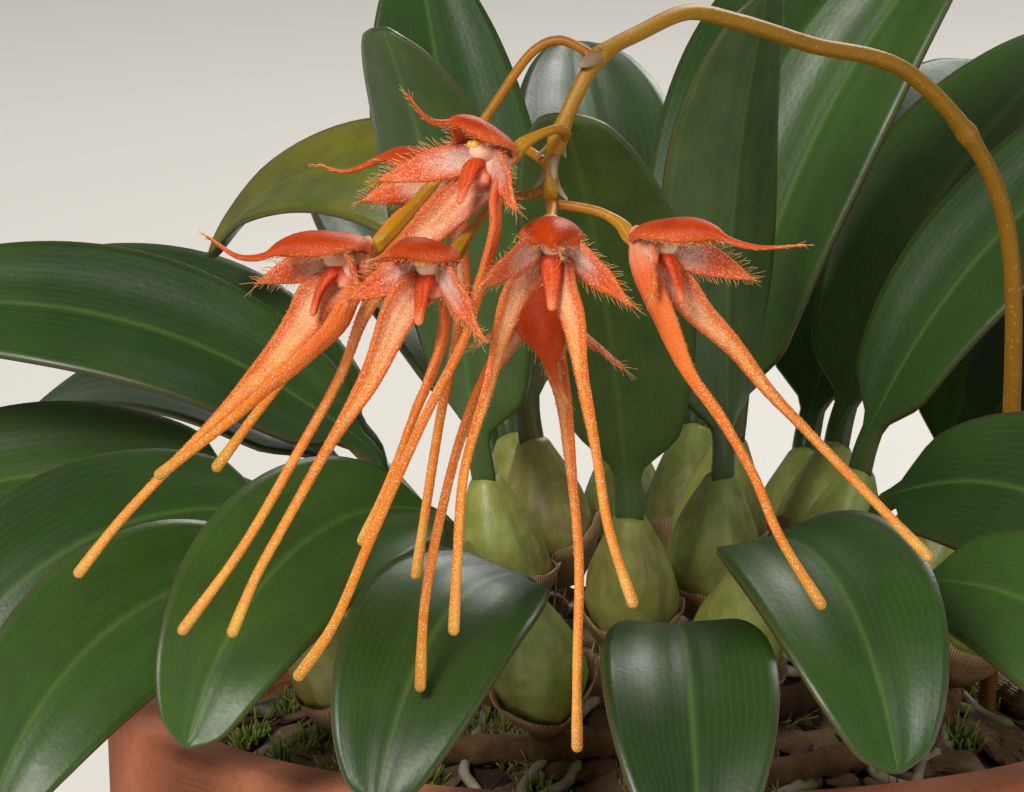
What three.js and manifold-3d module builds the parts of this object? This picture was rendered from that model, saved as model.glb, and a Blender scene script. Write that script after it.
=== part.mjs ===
import * as THREE from "three";
import { mergeVertices } from "three/addons/utils/BufferGeometryUtils.js";
import Module from "manifold-3d";

// A miniature orchid in flower, growing over a plain clay pot.
// Millimetres, +Z up. The origin is the middle of the pot's foot, and the umbel of flowers
// hangs over the rim on the -Y side, which is the side it is looked at from.

const wasm = await Module();
wasm.setup();

// Driving dimensions of the pot and of the bark that fills it.
const POT = {
  height: 44,
  footRadius: 23.5,
  neckRadius: 29.3,
  rimRadius: 32,
  bandHeight: 11,
  wall: 3.2,
  floor: 3.5,
  edge: 0.8,
  sides: 24,
};
const DRAIN = { count: 4, radius: 2.8, ringRadius: 11, sides: 10 };
const CLEARANCE = 0.3;
const MEDIUM = { edgeRadius: 26.6, edgeHeight: 40, moundRise: 8, chip: 0.9, rings: 7 };

// Driving dimensions of the creeping stems, and of the shoots that stand on them.
const RHIZOME = { count: 5, radius: 1.0, steps: 13, sides: 5, lift: 1.0, groove: 0.35 };
const SHOOTS_ON_A_RHIZOME = 6;
const TO_LIGHT = new THREE.Vector3(0, -1, 0.35);
const SPIRAL = { turn: 137.508, offset: 22, spacing: 4.3, start: 0.8 };
const BULB = { height: 9.2, radius: 2.75, neckRadius: 0.8, sides: 6, seat: 0.2 };
const LEAF = { length: 31, width: 10, thickness: 0.8, neck: 2.2, fold: 0.34, steps: 8 };
// Three leaves behind the flowers have a pose of their own, in degrees and millimetres.
const POSED = {
  1: { heading: 148, rise: 98, drop: -60, length: 33 },
  4: { heading: 245, rise: 80, drop: 50, length: 30 },
  6: { heading: 112, rise: 56, drop: 64, length: 30 },
};

// The flowering stem. The umbel's own frame leans forward by UMBEL_TILT, so that its X and Z
// run across and up the way the flowers are looked at, and its Y runs away from the eye.
const UMBEL_PLACE = [-6, -37, 82];
const UMBEL_TILT = -10;
const SCAPE = { radius: 0.6, tipRadius: 0.42, holeRadius: 1.0, sides: 6, steps: 26 };
const PEDICEL = { radius: 0.34, ovaryRadius: 0.62, sides: 6, steps: 7, gap: 0.15 };

// One flower, in millimetres.
const COLUMN = { back: -0.7, front: 1.65, radius: 0.58, foot: 1.55, steps: 4 };
const HOOD = { halfWidth: 1.9, thickness: 0.68, fold: 1.0, tailRadius: 0.3, steps: 9 };
const PETAL = { halfWidth: 1.05, thickness: 0.7, tooth: 0.13, steps: 7 };
const SEPAL = { baseWidth: 0.4, peak: 0.085, tailRadius: 0.33, thickness: 0.7, fold: 0.75, steps: 11 };
const LIP = { halfWidth: 0.42, thickness: 0.7, clear: 1.9, steps: 4 };

// Where each flower sits in the umbel's frame, which way it faces, and where its petals, the
// hood's tail and the two long side sepals run. Item 0 of a pair is on the flower's own right.
// Broad is the greatest half width of each side sepal.
const FLOWERS = [
  {
    at: [-2.9, -3.6, -0.3],
    facing: [-0.7, -0.66, 0.2],
    broad: [1.6, 1.15],
    tail: [[-6.6, -7.2, 1.5], [-7.9, -8.6, 2.9]],
    petals: [[-10.3, -3.9, -2.0], [-1.7, -7.2, -4.0]],
    sepals: [
      [[-5, -3.4, -2.8], [-6.5, -2.6, -4.2], [-8.4, -1.5, -6.3], [-10.2, -0.6, -9],
        [-11.5, 0.2, -12.3], [-14, 1.2, -16.8], [-17, 2.4, -21.9], [-20.5, 3.6, -26.7]],
      [[-2.9, -4.9, -2.8], [-2.9, -5, -4.2], [-3.4, -5.2, -6.3], [-4, -5.5, -8.2],
        [-4.6, -6.1, -10.2], [-6.9, -6.8, -14.8], [-9.8, -6.4, -21.3], [-11.9, -6, -26.1], [-13.9, -5.6, -29]],
    ],
    pedicel: [[0.05, 0, 0.2], [0.9, -0.5, 0.9], [0.2, -1.5, 1.1], [-1.5, -2.6, 0.3]],
  },
  {
    at: [-10.6, -1, -5.6],
    facing: [-0.93, -0.3, -0.15],
    broad: [1.2, 1.1],
    tail: [[-17, -2.9, -5.9], [-18.9, -3.4, -4.7]],
    petals: [[-16.9, 0.6, -7.5], [-10.4, -4.4, -7.9]],
    sepals: [
      [[-12.8, -0.5, -8.1], [-13.4, -0.3, -9.2], [-15, 0, -11.3], [-17.6, 0.6, -14],
        [-21.7, 1.2, -18.2], [-23.9, 1.6, -20.6], [-26.2, 2, -23.5]],
      [[-10.9, -2.2, -8.2], [-11.6, -2.5, -9.6], [-13, -2.6, -11], [-15.5, -2.4, -13.1],
        [-18, -1.9, -15.2], [-21.7, -1, -18]],
    ],
    pedicel: [[2.6, 0.8, 5.1], [0.6, 1.1, 6.1], [-0.8, 1.3, 5.6], [-3.6, 1.6, 1.8],
      [-6.8, 1.6, -2.2], [-9, 0.4, -4.7]],
  },
  {
    at: [-6, -4.6, -6.2],
    facing: [-0.55, -0.8, -0.1],
    broad: [1.2, 1.1],
    tail: [[-9.2, -9.4, -6.1], [-9.7, -11.2, -6.2]],
    petals: [[-11.8, -6, -8.6], [-3.4, -10.2, -10.9]],
    sepals: [
      [[-7.7, -5.4, -8], [-8.4, -5.6, -9.1], [-9.8, -5.7, -12.4], [-12.3, -5.3, -16.6],
        [-14.9, -4.7, -21.2], [-16.1, -4.3, -23.4], [-17.5, -3.9, -26.7]],
      [[-5.7, -3.9, -8.3], [-5.7, -3.5, -9.6], [-6.1, -3.8, -11.4], [-7.4, -3.9, -14.5],
        [-8.8, -3.5, -18.2], [-10.4, -3, -21.7]],
    ],
    pedicel: [[-0.1, 0, -2.2], [-3, -1, -3], [-4.6, -2.6, -4.8]],
  },
  {
    at: [0, -3.5, -4.6],
    facing: [0.03, -0.9, -0.43],
    broad: [1.15, 1.15],
    tail: [[0.4, -9.6, -5.6], [0.6, -11.6, -6.2]],
    petals: [[-4.4, -9.3, -8], [5, -6.2, -9.1]],
    sepals: [
      [[-1.8, -4.6, -7.4], [-2.4, -4.9, -8.8], [-3.4, -5.2, -13], [-4.7, -5, -17.6],
        [-5.1, -4.5, -22.7], [-5.3, -4, -26.6]],
      [[0.8, -4.6, -7.7], [1.3, -4.9, -9.2], [1.7, -5.2, -12.2], [2.5, -5, -16.7],
        [3.1, -4.6, -20.4], [3.6, -4.4, -22.2], [4.6, -4.1, -25.1]],
    ],
    pedicel: [[0.1, 0, -2.8], [0.1, -1.2, -3.2]],
  },
  {
    at: [5.3, -1.9, -5],
    facing: [0.8, -0.55, -0.1],
    broad: [1.2, 1.15],
    tail: [[11.2, -5.4, -5.4], [13.9, -6.6, -5.3]],
    petals: [[5.7, -4.6, -8.6], [11.9, -1.6, -7.4]],
    sepals: [
      [[5.4, -2.8, -7.7], [6.1, -3.2, -9.2], [7.5, -3.4, -12.2], [9.3, -3.4, -14.7],
        [11.1, -3, -17.8], [12.5, -2.6, -21.1], [15, -2, -25.2]],
      [[7.1, -1.4, -7.5], [8.1, -1.2, -8.8], [10, -0.6, -10.7], [12, 0, -13.2],
        [14.1, 0.6, -15.4], [16.9, 1.4, -18.3], [21.1, 2.4, -22.6]],
    ],
    pedicel: [[0.1, 0.1, -2.9], [2.7, -0.5, -3.4], [3.9, -1, -4.1]],
  },
  {
    at: [-0.5, 3.2, -8],
    facing: [0.15, -0.1, -0.98],
    broad: [1.1, 1.1],
    dorsal: [0, -1, 0],
    tail: [[0.5, 2.2, -13], [1, 2.4, -14]],
    petals: [[-4.8, 3.6, -11.1], [4.7, 3.6, -12.5]],
    sepals: [
      [[-2.5, 6, -10.7], [-3.4, 5.8, -12], [-4.5, 5, -14.5], [-5.6, 4, -18.2],
        [-6.9, 3.2, -24.8], [-7.2, 3.4, -29.9]],
      [[0.3, 6.2, -11], [0.8, 5.4, -13.5], [1.2, 4, -17.8], [1.6, 2.8, -22.5],
        [1.5, 2.2, -28.4], [1.5, 2.8, -33.2]],
    ],
    pedicel: [[0.1, 0.2, -2.5], [0.1, 2.2, -4], [-0.5, 3.1, -6]],
  },
  {
    at: [-5.2, 5.5, -1.5],
    facing: [-0.85, 0.35, 0.1],
    broad: [1.1, 1.1],
    tail: [[-11.4, 7.8, -1], [-13, 8.2, -0.6]],
    petals: [[-7.6, 10, -4.2], [-11.2, 4.2, -2.9]],
    sepals: [
      [[-4.9, 7, -5], [-4.7, 7.4, -7.4], [-5.2, 7.6, -10.5], [-6, 7.8, -14.2],
        [-6.8, 8.2, -19.1], [-7.5, 8.8, -23.8]],
      [[-7.9, 4.9, -4], [-9.6, 5.1, -5.7], [-11.5, 5.6, -8.3], [-13.8, 6, -11.3],
        [-16.1, 6.4, -14.2], [-18.7, 6.8, -17.7]],
    ],
    pedicel: [[0, 0.2, -0.8], [-1.8, 2.6, 0.2], [-3.4, 4.6, -0.8]],
  },
];

// The scape rises out of the bark in the pot's frame, and ends as the umbel's short axis.
const SCAPE_RISE = [[19.5, -4, 36], [19.8, -4.2, 46], [20.9, -6.7, 61], [20, -10.6, 75],
  [14.4, -17, 83.4]];
const SCAPE_ARCH = [[14.6, 13.6, 6.3], [10.5, 9, 7.4], [7.7, 6, 7.8], [5, 3.2, 6.6], [2.6, 0.8, 5.1],
  [1.4, 0.3, 3], [0.4, 0, 0.6], [0, 0, -0.9], [0.1, 0, -2.9]];

const SEED = 42;
const rad = THREE.MathUtils.degToRad;
const vec = (p) => new THREE.Vector3(...p);
const mix = THREE.MathUtils.lerp;

// A repeatable number from -1 to 1 for item i and property k.
function jitter(i, k) {
  const wave = Math.sin(i * 12.9898 + k * 78.233 + SEED) * 43758.5453;
  return 2 * (wave - Math.floor(wave)) - 1;
}

// Solids: from a closed geometry to one that can be joined and cut, and back.
function solidOf(geometry) {
  const bare = geometry.index ? geometry.toNonIndexed() : geometry.clone();
  bare.deleteAttribute("normal");
  bare.deleteAttribute("uv");
  const merged = mergeVertices(bare, 1e-4);
  return new wasm.Manifold(
    new wasm.Mesh({
      numProp: 3,
      vertProperties: merged.attributes.position.array,
      triVerts: new Uint32Array(merged.index.array),
    }),
  );
}

function geometryOf(solid) {
  const mesh = solid.simplify(0.02).getMesh();
  const places = new Float32Array(mesh.numVert * 3);
  for (let i = 0; i < mesh.numVert; i++)
    places.set(mesh.vertProperties.subarray(i * mesh.numProp, i * mesh.numProp + 3), i * 3);
  const geometry = new THREE.BufferGeometry();
  geometry.setAttribute("position", new THREE.BufferAttribute(places, 3));
  geometry.setIndex(new THREE.BufferAttribute(mesh.triVerts, 1));
  geometry.computeVertexNormals();
  return geometry;
}

function fuse(geometries) {
  return geometryOf(geometries.map(solidOf).reduce((whole, piece) => whole.add(piece)));
}

function carve(geometry, tools) {
  return geometryOf(tools.map(solidOf).reduce((whole, tool) => whole.subtract(tool), solidOf(geometry)));
}

// A closed skin through rings of points, each ring counter-clockwise about the way they run.
function loft(rings) {
  const count = rings[0].length;
  const points = rings.flat();
  const faces = [];
  const middle = (ring) => ring.reduce((sum, p) => sum.add(p), vec([0, 0, 0])).divideScalar(count);
  for (let i = 0; i + 1 < rings.length; i++)
    for (let j = 0; j < count; j++) {
      const a = i * count + j;
      const b = i * count + ((j + 1) % count);
      faces.push(a, b, b + count, a, b + count, a + count);
    }
  const first = points.push(middle(rings[0])) - 1;
  const last = points.push(middle(rings.at(-1))) - 1;
  const end = (rings.length - 1) * count;
  for (let j = 0; j < count; j++) {
    const next = (j + 1) % count;
    faces.push(first, next, j, last, end + j, end + next);
  }
  const geometry = new THREE.BufferGeometry().setFromPoints(points);
  geometry.setIndex(faces);
  return geometry;
}

// Sweeps a section along a smooth path. The section is a list of [across, up] pairs for each
// share of the length, and up starts out along the hint and is carried on without twisting.
function sweep(path, steps, hint, section) {
  const curve = new THREE.CatmullRomCurve3(path, false, "centripetal");
  let up = hint.clone();
  const rings = [];
  for (let i = 0; i <= steps; i++) {
    const share = i / steps;
    const place = curve.getPointAt(share);
    const along = curve.getTangentAt(share);
    up = up.addScaledVector(along, -up.dot(along)).normalize();
    const across = new THREE.Vector3().crossVectors(up, along);
    rings.push(
      section(share, i).map(([x, y]) => place.clone().addScaledVector(across, x).addScaledVector(up, y)),
    );
  }
  return loft(rings);
}

function tube(path, steps, sides, radiusAt) {
  const start = path[1].clone().sub(path[0]);
  const hint = Math.abs(start.z) > start.length() / 2 ? vec([0, 1, 0]) : vec([0, 0, 1]);
  return sweep(path, steps, hint, (share) =>
    Array.from({ length: sides }, (_, j) => {
      const turn = (2 * Math.PI * j) / sides;
      return [radiusAt(share) * Math.cos(turn), radiusAt(share) * Math.sin(turn)];
    }),
  );
}

// A blade's section: an arc of the given half width that folds up by the given angle at its
// edges, with its thickness. Round turns it into a rod of that radius as it goes from 0 to 1.
function bladeSection(halfWidth, thickness, fold, cells, round = 0, radius = 0) {
  const arc = Math.max(fold, 0.02);
  const spread = halfWidth / arc;
  const points = [];
  for (const side of [1, -1])
    for (let j = 0; j <= cells; j++) {
      const u = side * (1 - (2 * j) / cells);
      const reach = spread - (side * thickness * mix(0.5, 0.43, u * u));
      const flat = [reach * Math.sin(arc * u), spread - reach * Math.cos(arc * u)];
      const turn = (Math.PI * (j + 0.5)) / (cells + 1) + (side > 0 ? 0 : Math.PI);
      points.push([
        mix(flat[0], radius * Math.cos(turn), round),
        mix(flat[1], radius * Math.sin(turn), round),
      ]);
    }
  return points;
}

// The pot: a lathed clay wall with a thicker band at the rim, and holes in its foot.
function potGeometry() {
  const { height, footRadius, neckRadius, rimRadius, bandHeight, wall, floor, edge, sides } = POT;
  const bandFoot = height - bandHeight;
  const slope = (neckRadius - footRadius) / bandFoot;
  const inner = (z) => footRadius - wall + slope * z;
  const profile = [
    [0, 0],
    [footRadius - edge, 0],
    [footRadius, edge],
    [neckRadius, bandFoot],
    [rimRadius - edge, bandFoot],
    [rimRadius - 0.4, bandFoot + edge],
    [rimRadius, height - edge],
    [rimRadius - edge, height],
    [inner(height) + edge, height],
    [inner(height), height - edge],
    [inner(floor), floor],
    [0, floor],
  ].map(([r, z]) => new THREE.Vector2(r, z));
  const shell = new THREE.LatheGeometry(profile, sides).rotateX(Math.PI / 2);
  const holes = Array.from({ length: DRAIN.count }, (_, i) => {
    const turn = (2 * Math.PI * (i + 0.5)) / DRAIN.count;
    return new THREE.CylinderGeometry(DRAIN.radius, DRAIN.radius, 4 * floor, DRAIN.sides)
      .rotateX(Math.PI / 2)
      .translate(DRAIN.ringRadius * Math.cos(turn), DRAIN.ringRadius * Math.sin(turn), 0);
  });
  return carve(shell, holes);
}

// The height of the heaped bark at a distance from the pot's axis, before its chips.
function moundAt(distance) {
  return MEDIUM.edgeHeight + MEDIUM.moundRise * (1 - (distance / MEDIUM.edgeRadius) ** 2);
}

// The heaped bark: a plug that fills the pot, with a top of tipped chips.
function mediumGeometry(grooves) {
  const { edgeRadius, edgeHeight, chip, rings } = MEDIUM;
  const slope = (POT.neckRadius - POT.footRadius) / (POT.height - POT.bandHeight);
  const bottom = POT.floor + CLEARANCE;
  const circle = (radius, heightAt) =>
    Array.from({ length: POT.sides }, (_, j) => {
      const turn = (2 * Math.PI * j) / POT.sides + Math.PI / 2;
      return vec([radius * Math.cos(turn), radius * Math.sin(turn), heightAt(j)]);
    });
  const stack = [circle(edgeRadius - slope * (edgeHeight - bottom), () => bottom)];
  for (let i = 0; i < rings; i++) {
    const radius = edgeRadius * (1 - i / rings);
    const relief = (j) => (i === 0 ? 0 : chip * jitter(j + 1, i + 1));
    stack.push(circle(radius, (j) => moundAt(radius) + relief(j)));
  }
  return carve(loft(stack), grooves);
}

// Shoots stand in five opening spirals, as the new growths of a creeping stem do.
function shootPlace(index) {
  const distance = SPIRAL.spacing * Math.sqrt(index + SPIRAL.start);
  const turn = rad(SPIRAL.offset + SPIRAL.turn * index);
  return { distance, turn };
}

function rhizomePath(strand, lift = RHIZOME.lift) {
  const path = [];
  for (let j = 0; j < SHOOTS_ON_A_RHIZOME; j++) {
    const { distance, turn } = shootPlace(strand + RHIZOME.count * j);
    path.push(vec([distance * Math.cos(turn), distance * Math.sin(turn), moundAt(distance) + lift]));
  }
  return path;
}

function rhizomeGeometry(strand, extra = 0) {
  const radius = RHIZOME.radius + extra;
  return tube(rhizomePath(strand), RHIZOME.steps, RHIZOME.sides, (share) => radius * (1 + 0.12 * Math.sin(40 * share)));
}

// How the leaf of one shoot is carried: its heading, its rise at the neck and at the tip.
// The back and the right stand tall. On the flowers' side the outer leaves hang over the rim,
// under the flowers, and the inner ones stand behind them. Side leaves turn to the light.
function leafHabit(index) {
  const { distance, turn } = shootPlace(index);
  const outer = distance / 24;
  const heading = POSED[index] ? rad(POSED[index].heading) : turn + rad(8) * jitter(index, 1);
  const front = Math.max(0, -Math.sin(heading));
  const tall = Math.cos(heading - rad(45));
  const hangs = front > 0.35 && outer > 0.55;
  const rise = hangs ? 46 - 30 * outer : mix(84, 24 + 34 * tall, outer) + 34 * front;
  const free = {
    rise: rise + 4 * jitter(index, 2),
    drop: hangs ? -58 - 12 * outer : rise - mix(34, 56, outer) + 18 * front + 8 * jitter(index, 3),
    length: LEAF.length + 3 * jitter(index, 4) - (hangs ? 4 : 0),
  };
  return {
    ...free,
    ...POSED[index],
    heading,
    bulbTilt: mix(6, 24, outer) + (hangs ? 6 : 0),
    width: LEAF.width + 0.8 * jitter(index, 5),
    twist: Math.abs(Math.cos(heading)),
  };
}

// A shoot is a ridged pseudobulb that stands on the rhizome, and one leaf from its top.
function shootGeometry(index) {
  const { distance, turn } = shootPlace(index);
  const habit = leafHabit(index);
  const outward = vec([Math.cos(turn), Math.sin(turn), 0]);
  const base = outward.clone().multiplyScalar(distance);
  base.z = moundAt(distance) + RHIZOME.lift + RHIZOME.radius * 1.15 + BULB.seat;
  const lean = rad(habit.bulbTilt);
  const axis = outward.clone().multiplyScalar(Math.sin(lean)).add(vec([0, 0, Math.cos(lean)]));
  const crown = base.clone().addScaledVector(axis, BULB.height);
  const bulbRadius = (share) =>
    mix(1.3, BULB.neckRadius, share) + (BULB.radius - 1) * Math.sin(Math.PI * share ** 0.75) ** 1.1;
  const bulb = sweep([base, base.clone().lerp(crown, 0.5), crown], 4, vec([1, 0, 0]), (share) =>
    Array.from({ length: BULB.sides }, (_, j) => {
      const ridge = j % 2 ? 0.86 : 1;
      const at = (2 * Math.PI * j) / BULB.sides;
      return [ridge * bulbRadius(share) * Math.cos(at), ridge * bulbRadius(share) * Math.sin(at)];
    }),
  );
  return fuse([bulb, leafGeometry(crown, axis, habit)]);
}

function leafGeometry(crown, axis, habit) {
  const forward = vec([Math.cos(habit.heading), Math.sin(habit.heading), 0]);
  const place = crown.clone().addScaledVector(axis, -0.8);
  const path = [place.clone(), crown.clone().addScaledVector(axis, 0.9)];
  const pieces = 6;
  for (let i = 1; i <= pieces; i++) {
    const tilt = rad(mix(habit.rise, habit.drop, (i - 0.5) / pieces));
    const step = forward.clone().multiplyScalar(Math.cos(tilt));
    step.z = Math.sin(tilt);
    path.push(path.at(-1).clone().addScaledVector(step, habit.length / pieces));
  }
  const hint = forward.clone().multiplyScalar(-1).addScaledVector(TO_LIGHT, habit.twist);
  const neckShare = LEAF.neck / habit.length;
  return sweep(path, LEAF.steps, hint, (share) => {
    const t = Math.max(0, (share - neckShare) / (1 - neckShare));
    const oval = Math.sin(Math.PI * Math.min(0.98, 0.03 + 0.97 * t)) ** 0.5;
    const halfWidth = Math.max(0.75, (habit.width / 2) * (t > 0 ? oval : 0));
    return bladeSection(halfWidth, LEAF.thickness, t > 0 ? LEAF.fold : 0.1, 2);
  });
}

// The flower's own directions: forward along the column, dorsal towards the hood, and right.
function flowerAxes(flower) {
  const forward = vec(flower.facing).normalize();
  const dorsal = vec(flower.dorsal ?? [0, 0, 1]);
  dorsal.addScaledVector(forward, -dorsal.dot(forward)).normalize();
  const right = new THREE.Vector3().crossVectors(forward, dorsal);
  const origin = vec(flower.at);
  const from = (f, u, r) =>
    origin.clone().addScaledVector(forward, f).addScaledVector(dorsal, u).addScaledVector(right, r);
  return { forward, dorsal, right, from };
}

// The hooded upper sepal, with its long thin tail.
function hoodGeometry(flower) {
  const { dorsal, from } = flowerAxes(flower);
  const path = [from(-0.35, 1.2, 0), from(0.7, 1.55, 0), from(2, 1.7, 0), from(3.4, 1.3, 0),
    from(4.4, 0.8, 0), ...flower.tail.map(vec)];
  return sweep(path, HOOD.steps, dorsal.clone().negate(), (share) => {
    const body = Math.sin(Math.PI * Math.min(1, 0.14 + share * 1.5)) ** 0.8;
    const round = THREE.MathUtils.smoothstep(share, 0.42, 0.62);
    return bladeSection(Math.max(0.3, HOOD.halfWidth * body), HOOD.thickness, HOOD.fold, 3, round, HOOD.tailRadius);
  });
}

// One of the two short petals, with its toothed edge.
function petalGeometry(flower, side) {
  const { forward, right, dorsal, from } = flowerAxes(flower);
  const sign = side === 0 ? 1 : -1;
  const root = from(0.7, -0.2, 0.3 * sign);
  const tip = vec(flower.petals[side]);
  const swell = root.clone().lerp(tip, 0.5).addScaledVector(dorsal, -0.1);
  const hint = forward.clone().addScaledVector(right, -0.8 * sign);
  return sweep([root, swell, tip], PETAL.steps, hint, (share, i) => {
    const oval = Math.sin(Math.PI * Math.min(1, 0.16 + 0.84 * share ** 0.85)) ** 0.9;
    const tooth = 1 + PETAL.tooth * (i % 2 ? 1 : -1);
    return bladeSection(Math.max(0.16, PETAL.halfWidth * oval * tooth), PETAL.thickness * mix(1, 0.85, share), 0.5, 2);
  });
}

// How far each side sepal swells near its base before it narrows to the rod of its tail.
function sepalSwell(share) {
  const at = share / SEPAL.peak;
  return at * Math.exp(1 - at);
}

function sepalGeometry(flower, side) {
  const { forward, from } = flowerAxes(flower);
  const sign = side === 0 ? 1 : -1;
  const path = [from(0.45, -1.0, 0.42 * sign), ...flower.sepals[side].map(vec)];
  return sweep(path, SEPAL.steps, forward, (share) => {
    const halfWidth = mix(SEPAL.baseWidth, flower.broad[side], sepalSwell(share));
    const round = THREE.MathUtils.smoothstep(share, 0.3, 0.62);
    return bladeSection(halfWidth, SEPAL.thickness, SEPAL.fold, 3, round, SEPAL.tailRadius);
  });
}

// The column with its foot, which the sepals and petals grow from.
function columnGeometries(flower) {
  const { from } = flowerAxes(flower);
  const { back, front, radius, foot, steps } = COLUMN;
  const barrel = tube([from(back, 0, 0), from(mix(back, front, 0.5), -0.05, 0), from(front, 0, 0)], steps, 8,
    (share) => radius * mix(1.06, 0.86, share));
  const heel = tube([from(0.5, 0.1, 0), from(0.6, -foot / 2, 0), from(0.8, -foot, 0)], 3, 6,
    (share) => radius * mix(1.05, 0.75, share));
  return [barrel, heel];
}

function bodyGeometry(flower) {
  return fuse([
    ...columnGeometries(flower),
    petalGeometry(flower, 0),
    petalGeometry(flower, 1),
    sepalGeometry(flower, 0),
    sepalGeometry(flower, 1),
  ]);
}

// The tongue-shaped lip, hinged in front of the column's foot and bent down over the sepals.
function lipGeometry(flower) {
  const { forward, dorsal, from } = flowerAxes(flower);
  const between = vec(flower.sepals[0][0]).lerp(vec(flower.sepals[1][0]), 0.5).sub(vec(flower.at));
  const lead = Math.max(0, between.dot(forward)) / Math.max(1, -between.dot(dorsal));
  const ahead = (drop) => Math.max(1.9, LIP.clear + lead * (drop - 0.5));
  const lift = Math.max(0, 1.2 * (lead - 0.4));
  const path = [from(1.9, lift - 1.35, 0), from(2.2, lift - 0.85, 0), from(2.7, lift - 0.95, 0),
    from(ahead(1.7) + 0.3, lift - 1.7, 0), from(ahead(2.9), lift - 2.9, 0)];
  return sweep(path, LIP.steps, forward.clone().negate(), (share) =>
    bladeSection(LIP.halfWidth * mix(1, 0.6, share), LIP.thickness * mix(1, 0.85, share), 0.5, 2),
  );
}

// The scape with the umbel's axis, and the stalk and ovary of every flower.
function stemGeometry(umbel) {
  const rise = SCAPE_RISE.map((p) => umbel.worldToLocal(vec(p)));
  const scape = tube([...rise, ...SCAPE_ARCH.map(vec)], SCAPE.steps, SCAPE.sides, (share) =>
    mix(SCAPE.radius, SCAPE.tipRadius, share ** 3));
  const stalks = FLOWERS.map((flower) => {
    const { from } = flowerAxes(flower);
    const path = [...flower.pedicel.map(vec), from(COLUMN.back - 0.9, 0, 0), from(COLUMN.back - PEDICEL.gap, 0, 0)];
    return tube(path, PEDICEL.steps, PEDICEL.sides, (share) =>
      mix(PEDICEL.radius, PEDICEL.ovaryRadius, THREE.MathUtils.smoothstep(share, 0.45, 1)));
  });
  return fuse([scape, ...stalks]);
}

// The hole that the scape stands in, wider than the scape all round.
function scapeHole() {
  const [foot, collar] = SCAPE_RISE.map(vec);
  const down = foot.clone().sub(collar).normalize();
  return tube([foot.clone().addScaledVector(down, CLEARANCE), foot, collar.clone().addScaledVector(down, -4)],
    3, SCAPE.sides, () => SCAPE.holeRadius);
}

const FINISHES = {
  clay: { color: 0xb9683f, roughness: 0.9 },
  bark: { color: 0x5b4130, roughness: 0.95 },
  rhizome: { color: 0x7d6a3c, roughness: 0.8 },
  leaf: { color: 0x3f6b1f, roughness: 0.45 },
  stem: { color: 0xb07a1c, roughness: 0.5 },
  sepal: { color: 0xe8753a, roughness: 0.55 },
  hood: { color: 0xc93f12, roughness: 0.5 },
  lip: { color: 0xd2391a, roughness: 0.45 },
};

function piece(name, geometry, finish) {
  const mesh = new THREE.Mesh(geometry, new THREE.MeshStandardMaterial({ metalness: 0, ...FINISHES[finish] }));
  mesh.name = name;
  return mesh;
}

const plant = new THREE.Group();
const umbel = new THREE.Group();
umbel.position.set(...UMBEL_PLACE);
umbel.rotation.x = rad(UMBEL_TILT);
umbel.updateMatrixWorld(true);

const strands = Array.from({ length: RHIZOME.count }, (_, k) => k);
const grooves = strands.map((k) => rhizomeGeometry(k, RHIZOME.groove));
plant.add(piece("pot", potGeometry(), "clay"));
plant.add(piece("growing_medium", mediumGeometry([...grooves, scapeHole()]), "bark"));
for (const k of strands) plant.add(piece(`rhizome_${k + 1}`, rhizomeGeometry(k), "rhizome"));
for (let i = 0; i < RHIZOME.count * SHOOTS_ON_A_RHIZOME; i++)
  plant.add(piece(`shoot_${String(i + 1).padStart(2, "0")}`, shootGeometry(i), "leaf"));

umbel.add(piece("flower_stem", stemGeometry(umbel), "stem"));
FLOWERS.forEach((flower, i) => {
  umbel.add(piece(`flower_${i + 1}`, bodyGeometry(flower), "sepal"));
  umbel.add(piece(`flower_${i + 1}_hood`, hoodGeometry(flower), "hood"));
  umbel.add(piece(`flower_${i + 1}_lip`, lipGeometry(flower), "lip"));
});
plant.add(umbel);

export default plant;
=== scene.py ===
# %% [markdown]
# # A miniature orchid in flower, over a clay pot
#
# In the wild this orchid creeps over mossy trunks. A woody stem, the rhizome, carries egg-shaped
# pseudobulbs, and each of those carries one leathery leaf. A thin stalk arches out from among them
# and hangs an umbel of small orange flowers, each with two long tails and a red hood.
#
# The imported model already has every piece as a plain solid in its true place. Here each solid is
# stood in for by a finer mesh of the same form. We load the imported model first, because every
# piece has to ride on it.

import math

import bmesh
import bpy
import numpy as np
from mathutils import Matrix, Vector, noise


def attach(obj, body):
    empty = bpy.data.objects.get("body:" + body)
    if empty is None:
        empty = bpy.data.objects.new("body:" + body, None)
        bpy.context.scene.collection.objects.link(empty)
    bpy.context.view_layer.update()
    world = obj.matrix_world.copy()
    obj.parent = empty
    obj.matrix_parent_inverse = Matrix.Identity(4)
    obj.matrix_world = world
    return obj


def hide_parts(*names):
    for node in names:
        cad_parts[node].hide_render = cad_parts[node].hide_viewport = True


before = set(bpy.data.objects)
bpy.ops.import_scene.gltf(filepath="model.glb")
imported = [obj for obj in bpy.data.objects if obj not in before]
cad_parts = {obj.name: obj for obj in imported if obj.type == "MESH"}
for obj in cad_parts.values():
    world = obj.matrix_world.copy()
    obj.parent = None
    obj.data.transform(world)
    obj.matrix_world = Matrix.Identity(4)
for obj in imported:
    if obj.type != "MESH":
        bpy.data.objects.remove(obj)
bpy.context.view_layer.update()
MM = 0.001
print("solids in the frame:", len(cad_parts))

# %% [markdown]
# ## Camera, floor and light
#
# A close-up of something a few centimetres wide is taken from far off with a long lens, so that
# near and far flowers keep their true sizes. The camera looks a little down on the umbel. The floor
# is one wide pale sheet. Light comes from large soft panels: one in front to the left as the key,
# one to the right as a weak fill, and one behind, because thin petals and fine hairs glow when some
# light comes through them. Light from one small lamp would give hard shadows that hide the petals.

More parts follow.
